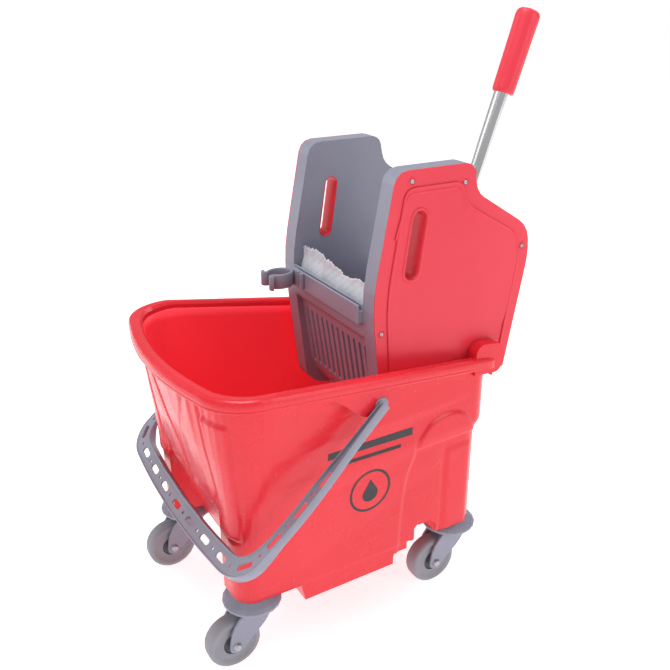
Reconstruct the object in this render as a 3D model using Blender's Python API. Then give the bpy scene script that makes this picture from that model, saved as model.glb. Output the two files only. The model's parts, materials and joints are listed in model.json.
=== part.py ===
"""Wheeled mop bucket with a down-press wringer, modelled as its separate pieces.

Lengths are millimetres until a piece is placed. X runs across the bucket, y is measured back from
the swivel axes of the front castors, and z up from the floor. place() turns them into metres in the
part's own frame, whose origin is on the floor under the middle of the whole object.
"""
import math

import bmesh
import bpy
from mathutils import Vector

# ---- Driving dimensions, mm ------------------------------------------------------------------
MILLIMETRE = 0.001
MIDDLE_Y = 177.0            # middle of the object's depth, behind the front swivel axes
GAP = 0.3                   # clearance between pieces that touch or turn

WALL = 3.5                  # moulded wall of the tub
RIM_HEIGHT = 419.0          # top of the rim at the front corners
RIM_SLOPE = 0.128           # the rim falls this much for each mm towards the back
RIM_DEPTH = 16.0            # how far the rolled rim hangs down
SADDLE_HEIGHT = 352.0       # lowered stretch of the rear rim that carries the wringer
SADDLE_HALF = 128.5
LEG_BOTTOM = 108.3
SUMP_BOTTOM = 81.0
STEP_BOTTOM = 97.0
ARCH_TOP = 131.0

WHEEL_RADIUS = 37.5         # 75 mm castors
WHEEL_WIDTH = 24.0
CASTOR_TRAIL = 31.5
CASTORS = {"front_left": (-121.5, 0.0), "front_right": (121.5, 0.0),
           "rear_left": (-110.4, 333.4), "rear_right": (110.4, 333.4)}
STEM_RADIUS = 5.5
STEM_SIDES = 14
AXLE_RADIUS = 4.0

BAIL_PIVOT = (170.0, 362.0)             # y, z
BAIL_DROOP = math.radians(38.6)         # the bail hangs this far below level, towards the front
BAIL_DEPTH = 15.0
BAIL_SKIN = 3.0
STUD_START = 155.5         # across the bucket, inner end of each bail stud

BOX_INNER = 97.0            # the wringer's side boxes run from here
BOX_OUTER = 126.0           # to here, at both sides
BOX_WALL = 2.6
SHAFT_CENTRE = (268.0, 318.0)           # y, z of the press shaft
SHAFT_RADIUS = 7.0
GEAR_MODULE = 2.6
LEVER_TEETH = 34
PLATE_TEETH = 44
GEAR_LINE = math.radians(87.8)          # direction from the shaft to the lever's pin
GEAR_DISTANCE = GEAR_MODULE * (LEVER_TEETH + PLATE_TEETH) / 2
LEVER_CENTRE = (SHAFT_CENTRE[0] + GEAR_DISTANCE * math.cos(GEAR_LINE),
                SHAFT_CENTRE[1] + GEAR_DISTANCE * math.sin(GEAR_LINE))
LEVER_STROKE = math.radians(65.0)
PLATE_STROKE = LEVER_STROKE * LEVER_TEETH / PLATE_TEETH
LEVER_LEAN = math.radians(19.0)         # the lever rests this far back from upright
LEVER_X = 111.5
PIN_RADIUS = 6.0
TUBE_RADIUS = 10.5
GRIP_START = 323.0                      # along the lever, from its pin
LEVER_LENGTH = 427.0
PLATE_LEAN = math.radians(28.0)
PLATE_LENGTH = 140.0

# ---- Colours: linear red, green, blue, then roughness and metallic ---------------------------
RED = ((0.80, 0.03, 0.05), 0.32, 0.0)
GREY = ((0.20, 0.21, 0.25), 0.42, 0.0)
DARK_GREY = ((0.09, 0.09, 0.11), 0.5, 0.0)
TYRE_GREY = ((0.19, 0.19, 0.21), 0.55, 0.0)
CHROME = ((0.78, 0.79, 0.80), 0.12, 1.0)
STEEL = ((0.55, 0.56, 0.58), 0.32, 1.0)
WHITE = ((0.85, 0.86, 0.88), 0.5, 0.0)


# ---- Placing and finishing -------------------------------------------------------------------
def place(x, y, z):
    """A point in mm, measured from the front castors, as metres in the part's frame."""
    return Vector((x, y - MIDDLE_Y, z)) * MILLIMETRE


def material(name, look):
    colour, roughness, metallic = look
    made = bpy.data.materials.new(name)
    made.use_nodes = True
    shader = made.node_tree.nodes["Principled BSDF"]
    shader.inputs["Base Color"].default_value = (*colour, 1.0)
    shader.inputs["Roughness"].default_value = roughness
    shader.inputs["Metallic"].default_value = metallic
    return made


def add_object(name, mesh_mm, pivot):
    """Turn a bmesh in mm into an object in metres with its origin at pivot."""
    bmesh.ops.remove_doubles(mesh_mm, verts=mesh_mm.verts, dist=0.0005)
    bmesh.ops.recalc_face_normals(mesh_mm, faces=mesh_mm.faces)
    if mesh_mm.calc_volume(signed=True) < 0:
        bmesh.ops.reverse_faces(mesh_mm, faces=mesh_mm.faces)
    origin = place(*pivot)
    for vert in mesh_mm.verts:
        vert.co = place(*vert.co) - origin
    data = bpy.data.meshes.new(name)
    mesh_mm.to_mesh(data)
    mesh_mm.free()
    made = bpy.data.objects.new(name, data)
    made.location = origin
    bpy.context.scene.collection.objects.link(made)
    return made


def piece(name, mesh_mm, look, pivot=(0.0, MIDDLE_Y, 0.0), smooth_degrees=35.0):
    """A finished sub-part with its own material."""
    made = add_object(name, mesh_mm, pivot)
    made.data.materials.append(material(name, look))
    made.data.shade_smooth()
    made.data.set_sharp_from_angle(angle=math.radians(smooth_degrees))
    return made


def combine(target, mesh_mm, operation):
    """Join a helper solid to target, or cut it away, with an exact Boolean."""
    helper = add_object("helper_" + target.name, mesh_mm, (0.0, MIDDLE_Y, 0.0))
    helper.hide_render = True
    helper.display_type = "WIRE"
    step = target.modifiers.new(operation.lower(), "BOOLEAN")
    step.operation = operation
    step.solver = "EXACT"
    step.object = helper


def join(target, mesh_mm):
    combine(target, mesh_mm, "UNION")


def cut(target, mesh_mm):
    combine(target, mesh_mm, "DIFFERENCE")


# ---- Outlines: lists of (u, v) points --------------------------------------------------------
def rounded(corners, steps=4, closed=True):
    """Round the corners of a polygon. Each corner is (u, v, cut), cut being where its arc starts."""
    outline = []
    count = len(corners)
    for index, (u, v, start) in enumerate(corners):
        here = Vector((u, v))
        open_end = not closed and index in (0, count - 1)
        if start <= 0 or open_end:
            outline.append((u, v))
            continue
        before = (Vector(corners[index - 1][:2]) - here).normalized()
        after = (Vector(corners[(index + 1) % count][:2]) - here).normalized()
        turn = math.pi - before.angle(after)
        handle = 4.0 / 3.0 * math.tan(turn / 4.0) / math.tan(turn / 2.0) if turn > 0.01 else 2.0 / 3.0
        first = here + before * start
        last = here + after * start
        first_handle = first - before * start * handle
        last_handle = last - after * start * handle
        for step in range(steps + 1):
            t = step / steps
            point = (first * (1 - t) ** 3 + first_handle * 3 * t * (1 - t) ** 2
                     + last_handle * 3 * t ** 2 * (1 - t) + last * t ** 3)
            outline.append((point.x, point.y))
    return outline


def circle(radius, centre=(0.0, 0.0), count=24):
    turn = 2 * math.pi / count
    return [(centre[0] + radius * math.cos(turn * k), centre[1] + radius * math.sin(turn * k))
            for k in range(count)]


def stadium(first, last, radius, steps=6):
    """A slot with round ends, between two centres."""
    heading = math.atan2(last[1] - first[1], last[0] - first[0])
    points = []
    for centre, start in ((last, heading - math.pi / 2), (first, heading + math.pi / 2)):
        for step in range(steps + 1):
            angle = start + math.pi * step / steps
            points.append((centre[0] + radius * math.cos(angle), centre[1] + radius * math.sin(angle)))
    return points


def inset(outline, distance):
    """Move every side of a closed anticlockwise outline inwards."""
    moved = []
    count = len(outline)
    for index, (u, v) in enumerate(outline):
        before = Vector((u, v)) - Vector(outline[index - 1])
        after = Vector(outline[(index + 1) % count]) - Vector((u, v))
        left = Vector((-before.y, before.x)).normalized() + Vector((-after.y, after.x)).normalized()
        left.normalize()
        along = Vector((-after.y, after.x)).normalized().dot(left)
        moved.append((u + left.x * distance / along, v + left.y * distance / along))
    return moved


def anticlockwise(outline):
    area = sum(outline[k - 1][0] * outline[k][1] - outline[k][0] * outline[k - 1][1]
               for k in range(len(outline)))
    return outline if area > 0 else outline[::-1]


# ---- Solids, as bmeshes in mm ----------------------------------------------------------------
def loft(rings):
    """Skin a row of closed rings that have the same number of points."""
    mesh = bmesh.new()
    rows = [[mesh.verts.new(point) for point in ring] for ring in rings]
    for lower, upper in zip(rows, rows[1:]):
        for k in range(len(lower)):
            after = (k + 1) % len(lower)
            mesh.faces.new((lower[k], lower[after], upper[after], upper[k]))
    mesh.faces.new(rows[0][::-1])
    mesh.faces.new(rows[-1])
    return mesh


def prism(outline, axis, low, high):
    """Extrude an outline along x, y or z. The outline's (u, v) are the other two axes in order."""
    def at(u, v, w):
        return {"x": (w, u, v), "y": (u, w, v), "z": (u, v, w)}[axis]
    return loft([[at(u, v, low) for u, v in outline], [at(u, v, high) for u, v in outline]])


def turned(profile, axis, centre, count=24):
    """Turn a closed (radius, along) profile about an axis through centre."""
    mesh = bmesh.new()
    rows = []
    for k in range(count):
        angle = 2 * math.pi * k / count
        side, rise = math.cos(angle), math.sin(angle)
        spokes = {"x": lambda r, a: (a, r * side, r * rise), "z": lambda r, a: (r * side, r * rise, a)}
        offset = Vector(centre)
        rows.append([offset + Vector(spokes[axis](radius, along)) for radius, along in profile])
    solid = all(radius > 0 for radius, _ in profile)
    vert_rows = []
    centres = {}
    for row in rows:
        verts = []
        for index, point in enumerate(row):
            if profile[index][0] > 0:
                verts.append(mesh.verts.new(point))
            else:
                if index not in centres:
                    centres[index] = mesh.verts.new(point)
                verts.append(centres[index])
        vert_rows.append(verts)
    spans = len(profile) if solid else len(profile) - 1
    for k in range(count):
        here, after = vert_rows[k], vert_rows[(k + 1) % count]
        for index in range(spans):
            following = (index + 1) % len(profile)
            corners = [here[index], after[index], after[following], here[following]]
            unique = [vert for n, vert in enumerate(corners) if vert not in corners[:n]]
            if len(unique) > 2:
                mesh.faces.new(unique)
    return mesh


def tube_between(start, direction, spans, count=24):
    """A ring or rod along a direction. spans is a list of (distance along, radius)."""
    forward = Vector(direction).normalized()
    side = Vector((1.0, 0.0, 0.0))
    other = forward.cross(side)
    rings = []
    for along, radius in spans:
        centre = Vector(start) + forward * along
        rings.append([centre + (side * math.cos(2 * math.pi * k / count)
                                + other * math.sin(2 * math.pi * k / count)) * radius
                      for k in range(count)])
    return loft(rings)


# ---- The tub ---------------------------------------------------------------------------------
def smooth_step(value, low, high):
    t = min(1.0, max(0.0, (value - low) / (high - low)))
    return t * t * (3 - 2 * t)


def rim_top(x, y):
    """Height of the rim: level round the front, falling backwards, with the rear saddle."""
    side = RIM_HEIGHT - RIM_SLOPE * max(0.0, y - 15.0)
    if y < 350.0:
        return side
    return SADDLE_HEIGHT + (side - SADDLE_HEIGHT) * smooth_step(abs(x), SADDLE_HALF, SADDLE_HALF + 5.0)


def tub_plan(middle_front, corner_front, half_front, rear, half_rear, radius_front, radius_rear, shrink):
    """Outline of the tub at one level: bowed front, tapered sides, square back."""
    right = [(half_front - shrink, corner_front + shrink, radius_front - shrink * 0.6),
             (half_rear - shrink, rear - shrink, radius_rear - shrink * 0.6)]
    left = [(-x, y, r) for x, y, r in reversed(right)]
    return rounded([(0.0, middle_front + shrink, 110.0)] + right + left, steps=7)


WALL_LEVELS = [                # height, then the plan of the outer wall there
    (LEG_BOTTOM, (-26.4, -26.4, 147.5, 359.4, 136.4, 26.0, 26.0)),
    (233.0, (-27.5, -28.0, 156.0, 359.4, 136.6, 34.0, 26.0)),
    (262.0, (-35.0, -29.0, 159.5, 359.4, 136.8, 37.0, 26.0)),
    (276.0, (-39.0, -29.5, 161.0, 368.5, 138.0, 39.0, 24.0)),
    (322.0, (-54.5, -31.5, 168.0, 369.5, 137.0, 46.0, 24.0)),
]
RIM_PLAN = (-90.5, -46.0, 189.0, 384.0, 147.0, 58.0, 24.0)
UPPER_WALL = (-77.0, -34.0, 177.0, 372.0, 135.0, 54.0, 22.0)


def tub_shell():
    """The open tub: outer wall, rolled rim and inner wall in one skin."""
    def at_rim(plan, shrink, drop):
        return [(x, y, rim_top(x, y) - drop) for x, y in tub_plan(*plan, shrink)]

    def level(height, plan, shrink):
        return [(x, y, height) for x, y in tub_plan(*plan, shrink)]

    rings = [level(height, plan, 0.0) for height, plan in WALL_LEVELS]
    rings += [at_rim(UPPER_WALL, 0.0, 4.0), at_rim(RIM_PLAN, 3.0, 4.0), at_rim(RIM_PLAN, 3.0, RIM_DEPTH),
              at_rim(RIM_PLAN, 0.4, RIM_DEPTH), at_rim(RIM_PLAN, 0.0, 4.0), at_rim(RIM_PLAN, 1.2, 1.2),
              at_rim(RIM_PLAN, 4.0, 0.0), at_rim(UPPER_WALL, 0.5, 0.0), at_rim(UPPER_WALL, WALL, 4.0)]
    inner = [level(height, plan, WALL) for height, plan in reversed(WALL_LEVELS[1:])]
    floor = level(LEG_BOTTOM + WALL, WALL_LEVELS[0][1], WALL)
    return loft(rings + inner + [floor])


def side_half(y):
    """Half width of the rim at y."""
    return 184.3 - 0.0977 * y


def slanted_prism(outline, side, inner, outer):
    """A prism on one side of the tub whose faces follow the rim. inner and outer are depths in."""
    return loft([[(side * (side_half(y) - inner), y, z) for y, z in outline],
                 [(side * (side_half(y) - outer), y, z) for y, z in outline]])


def make_tub():
    tub = piece("bucket_tub", tub_shell(), RED, smooth_degrees=28.0)

    front_slope = [(-24.5, LEG_BOTTOM + 0.5), (20.5, LEG_BOTTOM + 0.5), (-22.0, 226.0), (-24.5, 226.0)]
    join(tub, prism(front_slope, "x", -99.0, 99.0))
    arch_floor = [(245.5, 109.0), (291.5, 109.0), (291.5, ARCH_TOP + WALL), (245.5, ARCH_TOP + WALL)]
    join(tub, prism(arch_floor, "x", -136.0, 136.0))

    sump_low = [(144.4, 67.0), (139.9, 213.0), (-139.9, 213.0), (-144.4, 67.0)]
    sump_high = [(144.6, 60.0), (139.9, 213.0), (-139.9, 213.0), (-144.6, 60.0)]
    join(tub, loft([[(x, y, SUMP_BOTTOM) for x, y in sump_low],
                    [(x, y, LEG_BOTTOM + 2.0) for x, y in sump_high]]))
    step = [(139.7, 212.0), (138.9, 237.0), (-138.9, 237.0), (-139.7, 212.0)]
    join(tub, prism(step, "z", STEP_BOTTOM, LEG_BOTTOM + 2.0))
    for x, y in CASTORS.values():
        join(tub, prism(circle(11.0, (x, y), 12), "z", LEG_BOTTOM + 1.0, 146.0))

    arch = [(250.0, 90.0), (287.5, 90.0), (287.5, 122.0), (279.0, ARCH_TOP), (254.0, ARCH_TOP),
            (250.0, 126.0)]
    cut(tub, prism(arch, "x", -200.0, 200.0))
    front_gap = [(-60.0, 90.0), (16.5, 90.0), (16.5, 108.0), (-26.8, 228.0), (-60.0, 228.0)]
    cut(tub, prism(front_gap, "x", -95.0, 95.0))
    sump_inside_low = [(140.7, 71.0), (136.4, 209.5), (-136.4, 209.5), (-140.7, 71.0)]
    sump_inside_high = [(140.7, 64.0), (136.4, 209.5), (-136.4, 209.5), (-140.7, 64.0)]
    cut(tub, loft([[(x, y, SUMP_BOTTOM + WALL) for x, y in sump_inside_low],
                   [(x, y, LEG_BOTTOM + WALL + 1.0) for x, y in sump_inside_high]]))
    step_inside = [(136.2, 205.0), (135.2, 233.5), (-135.2, 233.5), (-136.2, 205.0)]
    cut(tub, prism(step_inside, "z", STEP_BOTTOM + WALL, LEG_BOTTOM + WALL + 1.0))
    for x, y in CASTORS.values():
        cut(tub, prism(circle(STEM_RADIUS + GAP, (x, y), STEM_SIDES), "z", 90.0, 141.0))

    pelmet = rounded([(68.0, 402.0, 0), (68.0, 394.5, 0), (97.0, 390.0, 12), (150.0, 346.0, 16),
                      (206.0, 362.0, 24), (268.0, 364.0, 20), (315.0, 358.0, 0), (315.0, 370.0, 0)], steps=4)
    for side in (-1, 1):
        join(tub, slanted_prism(anticlockwise(pelmet), side, 14.5, 0.6))
        ear = rounded([(337.0, 352.0, 0), (338.0, 388.0, 5), (346.0, 397.0, 7), (384.0, 393.0, 12),
                       (388.0, 366.0, 10), (378.0, 350.0, 6)], steps=3)
        join(tub, prism(anticlockwise(ear), "x", side * 127.6, side * 145.5))
        cut(tub, prism(circle(4.6 + GAP, BAIL_PIVOT, 14), "x", side * (STUD_START - 1), side * 180.0))
    saddle = [(340.0, SADDLE_HEIGHT), (396.0, SADDLE_HEIGHT), (396.0, 430.0), (340.0, 430.0)]
    cut(tub, prism(saddle, "x", -BOX_OUTER - 1.0, BOX_OUTER + 1.0))
    return tub


# ---- Castors ---------------------------------------------------------------------------------
def make_castor(name, x, y):
    """One swivel castor. The stem, bearing and bumper stay still, the fork swivels, the wheel rolls."""
    bumper = [(STEM_RADIUS + GAP, 92.3), (36.0, 92.3), (40.0, 94.0), (40.0, 97.5), (36.0, 101.5),
              (27.0, 107.9), (STEM_RADIUS + GAP, 107.9)]
    piece("castor_bumper_" + name, turned(bumper, "z", (x, y, 0.0), 20), GREY)
    bearing = [(STEM_RADIUS + GAP, 88.3), (15.0, 88.3), (15.0, 92.0), (STEM_RADIUS + GAP, 92.0)]
    piece("castor_bearing_" + name, turned(bearing, "z", (x, y, 0.0), 12), STEEL)
    stem = [(0.0, 78.6), (8.5, 78.6), (8.5, 81.7), (STEM_RADIUS, 81.7), (STEM_RADIUS, 139.0), (4.5, 140.6),
            (0.0, 140.6)]
    piece("castor_stem_" + name, turned(stem, "z", (x, y, 0.0), STEM_SIDES), STEEL)

    axle_y = y - CASTOR_TRAIL
    axle_z = WHEEL_RADIUS
    fork = piece("castor_fork_" + name, prism(circle(25.0, (x, y), 16), "z", 82.0, 88.0), GREY,
                 pivot=(x, y, 0.0))
    leg = rounded([(y + 22.0, 85.0, 0), (y + 14.0, 66.0, 12), (axle_y + 10.0, axle_z - 4.0, 4),
                   (axle_y + 5.0, axle_z - 11.0, 5), (axle_y - 6.0, axle_z - 11.0, 5),
                   (axle_y - 10.5, axle_z - 4.0, 5), (axle_y - 6.0, 66.0, 14), (y - 20.0, 85.0, 0)], steps=3)
    for side in (-1, 1):
        join(fork, prism(anticlockwise(leg), "x", x + side * 14.0, x + side * 17.4))
    cut(fork, prism(circle(STEM_RADIUS + GAP, (x, y), STEM_SIDES), "z", 80.0, 90.0))
    cut(fork, prism(circle(AXLE_RADIUS + GAP, (axle_y, axle_z), 8), "x", x - 20.0, x + 20.0))

    half = WHEEL_WIDTH / 2
    wheel_centre = (x, axle_y, axle_z)
    tyre = [(16.3, -half), (34.0, -half), (WHEEL_RADIUS, -half + 4.0), (WHEEL_RADIUS, half - 4.0),
            (34.0, half), (16.3, half)]
    piece("castor_tyre_" + name, turned(tyre, "x", wheel_centre, 24), TYRE_GREY, pivot=wheel_centre)
    hub = [(AXLE_RADIUS + GAP, -half - 1.2), (8.0, -half - 1.2), (9.5, -half + 3.0), (16.0, -half + 3.0),
           (16.0, half - 3.0), (9.5, half - 3.0), (8.0, half + 1.2), (AXLE_RADIUS + GAP, half + 1.2)]
    piece("castor_hub_" + name, turned(hub, "x", wheel_centre, 12), DARK_GREY, pivot=wheel_centre)
    axle = [(0.0, -21.5), (4.6, -21.0), (6.2, -17.7), (AXLE_RADIUS, -17.7), (AXLE_RADIUS, 17.7), (6.2, 17.7),
            (4.6, 21.0), (0.0, 21.5)]
    piece("castor_axle_" + name, turned(axle, "x", wheel_centre, 8), STEEL, pivot=(x, y, 0.0))


# ---- Carrying bail ---------------------------------------------------------------------------
def bail_frame(across, along, normal):
    """A point of the bail: across the bucket, along its hanging plane, and square to that plane."""
    down = (-math.cos(BAIL_DROOP), -math.sin(BAIL_DROOP))
    up = (-math.sin(BAIL_DROOP), math.cos(BAIL_DROOP))
    return (across, BAIL_PIVOT[0] + along * down[0] + normal * up[0],
            BAIL_PIVOT[1] + along * down[1] + normal * up[1])


def bail_path():
    """Centre line (across, along): two long arms bowed outwards, round corners, a nearly straight bar."""
    half = [(173.6, 2.0, 0), (197.0, 186.0, 40), (196.0, 271.0, 43), (90.0, 280.5, 30), (0.0, 283.0, 0)]
    right = rounded(half, steps=5, closed=False)
    return right + [(-across, along) for across, along in reversed(right[:-1])]


def bail_width(along):
    """The channel widens from the pivots to the bar."""
    return 10.0 + 5.0 * smooth_step(along, 40.0, 190.0) + 13.0 * smooth_step(along, 205.0, 268.0)


def bail_section(width, normal_low):
    """Channel section: a flat web on top, a flange down each edge."""
    half = width / 2
    skin = BAIL_SKIN
    return [(-half, 0.0), (half, 0.0), (half, normal_low), (half - skin, normal_low), (half - skin, -skin),
            (skin - half, -skin), (skin - half, normal_low), (-half, normal_low)]


def make_bail():
    path = bail_path()
    rings = []
    for index, (across, along) in enumerate(path):
        before = Vector(path[max(0, index - 1)])
        after = Vector(path[min(len(path) - 1, index + 1)])
        heading = (after - before).normalized()
        outward = Vector((-heading.y, heading.x))
        rings.append([bail_frame(across + outward.x * u, along + outward.y * u, n + BAIL_DEPTH / 2)
                      for u, n in bail_section(bail_width(along), -BAIL_DEPTH)])
    bail = piece("bail_handle", loft(rings), GREY, pivot=(0.0, *BAIL_PIVOT), smooth_degrees=40.0)
    for side in (-1, 1):
        join(bail, prism(circle(9.5, BAIL_PIVOT, 20), "x", side * 169.2, side * 177.2))
        cut(bail, prism(circle(4.6 + GAP, BAIL_PIVOT, 14), "x", side * 160.0, side * 190.0))
        cut(bail, prism(circle(8.8, BAIL_PIVOT, 18), "x", side * 177.2, side * 190.0))
    window_half = 7.0
    for index in range(-6, 7):
        centre = index * 25.5
        low, high = centre - window_half, centre + window_half
        drop = 280.5 if abs(centre) > 60 else 282.0
        drop -= 0.0016 * max(0.0, abs(centre) - 60.0) ** 2
        corners = [(low, drop - 5.0), (high, drop - 5.0), (high, drop + 5.0), (low, drop + 5.0)]
        cut(bail, loft([[bail_frame(u, v, n) for u, v in corners] for n in (0.0, 12.0)]))
    return bail


def make_bail_pivots():
    for name, side in (("left", -1), ("right", 1)):
        stud = [(0.0, STUD_START), (4.6, STUD_START), (4.6, 177.6), (8.0, 177.6), (6.5, 180.6), (0.0, 181.2)]
        profile = [(radius, side * along) for radius, along in stud]
        piece("bail_pivot_" + name, turned(profile, "x", (0.0, *BAIL_PIVOT), 14), GREY)


# ---- Wringer ---------------------------------------------------------------------------------
def panel_outline():
    """Side view of the wringer's boxes: bowed front, flat top, S-shaped back, notch over the tub's wall."""
    corners = [(404.0, 344.0, 3), (433.0, 510.0, 19), (428.0, 549.0, 19), (337.0, 605.0, 13),
               (329.0, 645.0, 13), (212.0, 645.0, 17), (180.5, 478.0, 40), (203.0, 283.0, 13),
               (226.0, 265.0, 14), (342.0, 265.0, 3), (343.0, 352.3, 0), (390.0, 352.3, 0),
               (391.0, 344.0, 0)]
    return anticlockwise(rounded(corners, steps=3))


HAND_SLOT = ((237.0, 515.0), (247.0, 583.0))
SCREWS = ((234.0, 631.0), (316.0, 621.0), (420.0, 522.0), (194.5, 437.5))
COVER_FIELD = [(392.0, 364.0, 78), (414.5, 508.0, 16), (407.0, 542.0, 16), (323.0, 590.0, 12),
               (310.0, 622.0, 10), (226.0, 622.0, 14), (202.0, 478.0, 40), (210.0, 364.0, 8)]
SHORT_SCREW = 2             # the screw that crosses the lever's path on the right


def make_side_box(name, side):
    """A wringer side box: an open grey frame, and the red cover that closes it."""
    outline = panel_outline()
    open_side = side * (BOX_OUTER - BOX_WALL - GAP)
    frame = piece("frame_" + name, prism(outline, "x", side * BOX_INNER, open_side), GREY,
                  smooth_degrees=40.0)
    floor = BOX_INNER + BOX_WALL
    cut(frame, prism(inset(outline, BOX_WALL), "x", side * floor, side * 130.0))
    join(frame, prism(stadium(*HAND_SLOT, 13.2), "x", side * (BOX_INNER + 1), open_side))
    for index, centre in enumerate(SCREWS):
        if side == 1 and index == SHORT_SCREW:
            continue
        join(frame, prism(circle(5.0, centre, 12), "x", side * (BOX_INNER + 1), open_side))
        cut(frame, prism(circle(2.2, centre, 8), "x", side * 104.0, side * 130.0))
    cut(frame, prism(stadium(*HAND_SLOT, 10.6), "x", side * 90.0, side * 130.0))
    cut(frame, prism(circle(10.3, SHAFT_CENTRE, 20), "x", side * 90.0, side * 110.0))
    if side == 1:
        cut(frame, prism(circle(PIN_RADIUS + GAP, LEVER_CENTRE, 16), "x", 90.0, 110.0))
        start, end = LEVER_LEAN - math.radians(3.6), LEVER_LEAN + LEVER_STROKE + math.radians(4.5)
        near, far = 140.0, 300.0
        fan = []
        for radius, angles in ((near, (0, 1, 2, 3, 4, 5, 6)), (far, (6, 5, 4, 3, 2, 1, 0))):
            for k in angles:
                angle = start + (end - start) * k / 6
                fan.append((LEVER_CENTRE[0] + radius * math.sin(angle),
                            LEVER_CENTRE[1] + radius * math.cos(angle)))
        cut(frame, prism(fan, "x", floor, 130.0))

    plate = prism(outline, "x", side * (BOX_OUTER - BOX_WALL), side * (BOX_OUTER - 0.8))
    cover = piece("cover_" + name, plate, RED)
    field = anticlockwise(rounded(COVER_FIELD, steps=5))
    join(cover, prism(field, "x", side * (BOX_OUTER - BOX_WALL + 0.5), side * (BOX_OUTER + 0.6)))
    cut(cover, prism(stadium(*HAND_SLOT, 10.6), "x", side * 120.0, side * 130.0))
    for centre in SCREWS:
        cut(cover, prism(circle(2.2, centre, 8), "x", side * 120.0, side * 130.0))


def make_cover_screws():
    for name, side in (("left", -1), ("right", 1)):
        for index, (y, z) in enumerate(SCREWS):
            end = 122.6 if side == 1 and index == SHORT_SCREW else 110.0
            profile = [(0.0, side * end), (1.9, side * end), (1.9, side * (BOX_OUTER - 0.5)),
                       (4.2, side * (BOX_OUTER - 0.5)), (3.2, side * (BOX_OUTER + 1.2)),
                       (0.0, side * (BOX_OUTER + 1.5))]
            piece("cover_screw_%s_%d" % (name, index + 1), turned(profile, "x", (0.0, y, z), 8), STEEL)


SLOT_HALF = 3.4             # half width of the strainer's slots


def make_front_pieces():
    """Front rail, slotted strainer, clip for the mop's handle, rear beam and the loose liner sheet."""
    reach = BOX_INNER - GAP
    rail = [(175.6, 445.0), (186.0, 445.0), (186.0, 471.0), (182.4, 471.0), (182.4, 462.0), (179.0, 462.0),
            (179.0, 471.0), (175.6, 471.0)]
    piece("front_rail", prism(anticlockwise(rail), "x", -reach, reach), GREY)

    outer = [(185.5, 444.6, 0), (185.5, 424.0, 4), (195.0, 418.0, 6), (213.0, 300.0, 22), (238.0, 270.0, 16),
             (262.0, 267.0, 0)]
    inner = [(262.0, 270.2, 0), (239.5, 273.2, 14), (216.0, 301.5, 20), (198.5, 420.5, 4), (189.0, 426.0, 3),
             (189.0, 444.6, 0)]
    section = anticlockwise(rounded(outer, 4, False) + rounded(inner, 4, False))
    strainer = piece("strainer", prism(section, "x", -reach, reach), GREY, smooth_degrees=30.0)
    for index in range(12):
        x = -82.5 + 15.0 * index
        upper = stadium((x, 316.0), (x, 402.0), SLOT_HALF, 2)
        cut(strainer, prism(upper, "y", 190.0, 222.0))
        left, right = x - SLOT_HALF, x + SLOT_HALF
        lower = [(left, 230.0), (right, 230.0), (right, 256.0), (left, 256.0)]
        cut(strainer, prism(lower, "z", 262.0, 292.0))
    join(strainer, prism(circle(5.0, (-66.0, 232.0), 12), "z", 258.0, 279.0))

    clip_back = [(-98.0, 171.8), (-60.0, 171.8), (-60.0, 175.3), (-98.0, 175.3)]
    clip = piece("mop_clip", prism(clip_back, "z", 446.0, 471.5), GREY)
    outside, inside = [], []
    steps = 14
    for k in range(steps + 1):
        angle = math.radians(-52.0 + 284.0 * k / steps)
        outside.append((-80.0 + 17.5 * math.cos(angle), 155.0 + 17.5 * math.sin(angle)))
        inside.append((-80.0 + 13.5 * math.cos(angle), 155.0 + 13.5 * math.sin(angle)))
    join(clip, prism(anticlockwise(outside + inside[::-1]), "z", 448.0, 470.0))
    for sign in (-1, 1):
        lip = [(-80.0 + sign * 8.9, 144.2), (-80.0 + sign * 13.5, 126.0), (-80.0 + sign * 17.5, 127.5),
               (-80.0 + sign * 12.4, 146.5)]
        join(clip, prism(anticlockwise(lip), "z", 448.0, 470.0))

    beam = [(352.0, 352.4), (384.0, 352.4), (384.0, 356.0), (356.0, 356.0), (356.0, 398.0), (352.0, 398.0)]
    piece("rear_beam", prism(anticlockwise(beam), "x", -reach, reach), GREY)

    sheet = [(-94.0, 430.0), (94.0, 430.0), (94.0, 486.0), (60.0, 492.0), (25.0, 486.5), (0.0, 494.0),
             (-45.0, 499.0), (-94.0, 497.0)]
    piece("liner_sheet", prism(anticlockwise(sheet), "y", 192.0, 193.4), WHITE)


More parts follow.
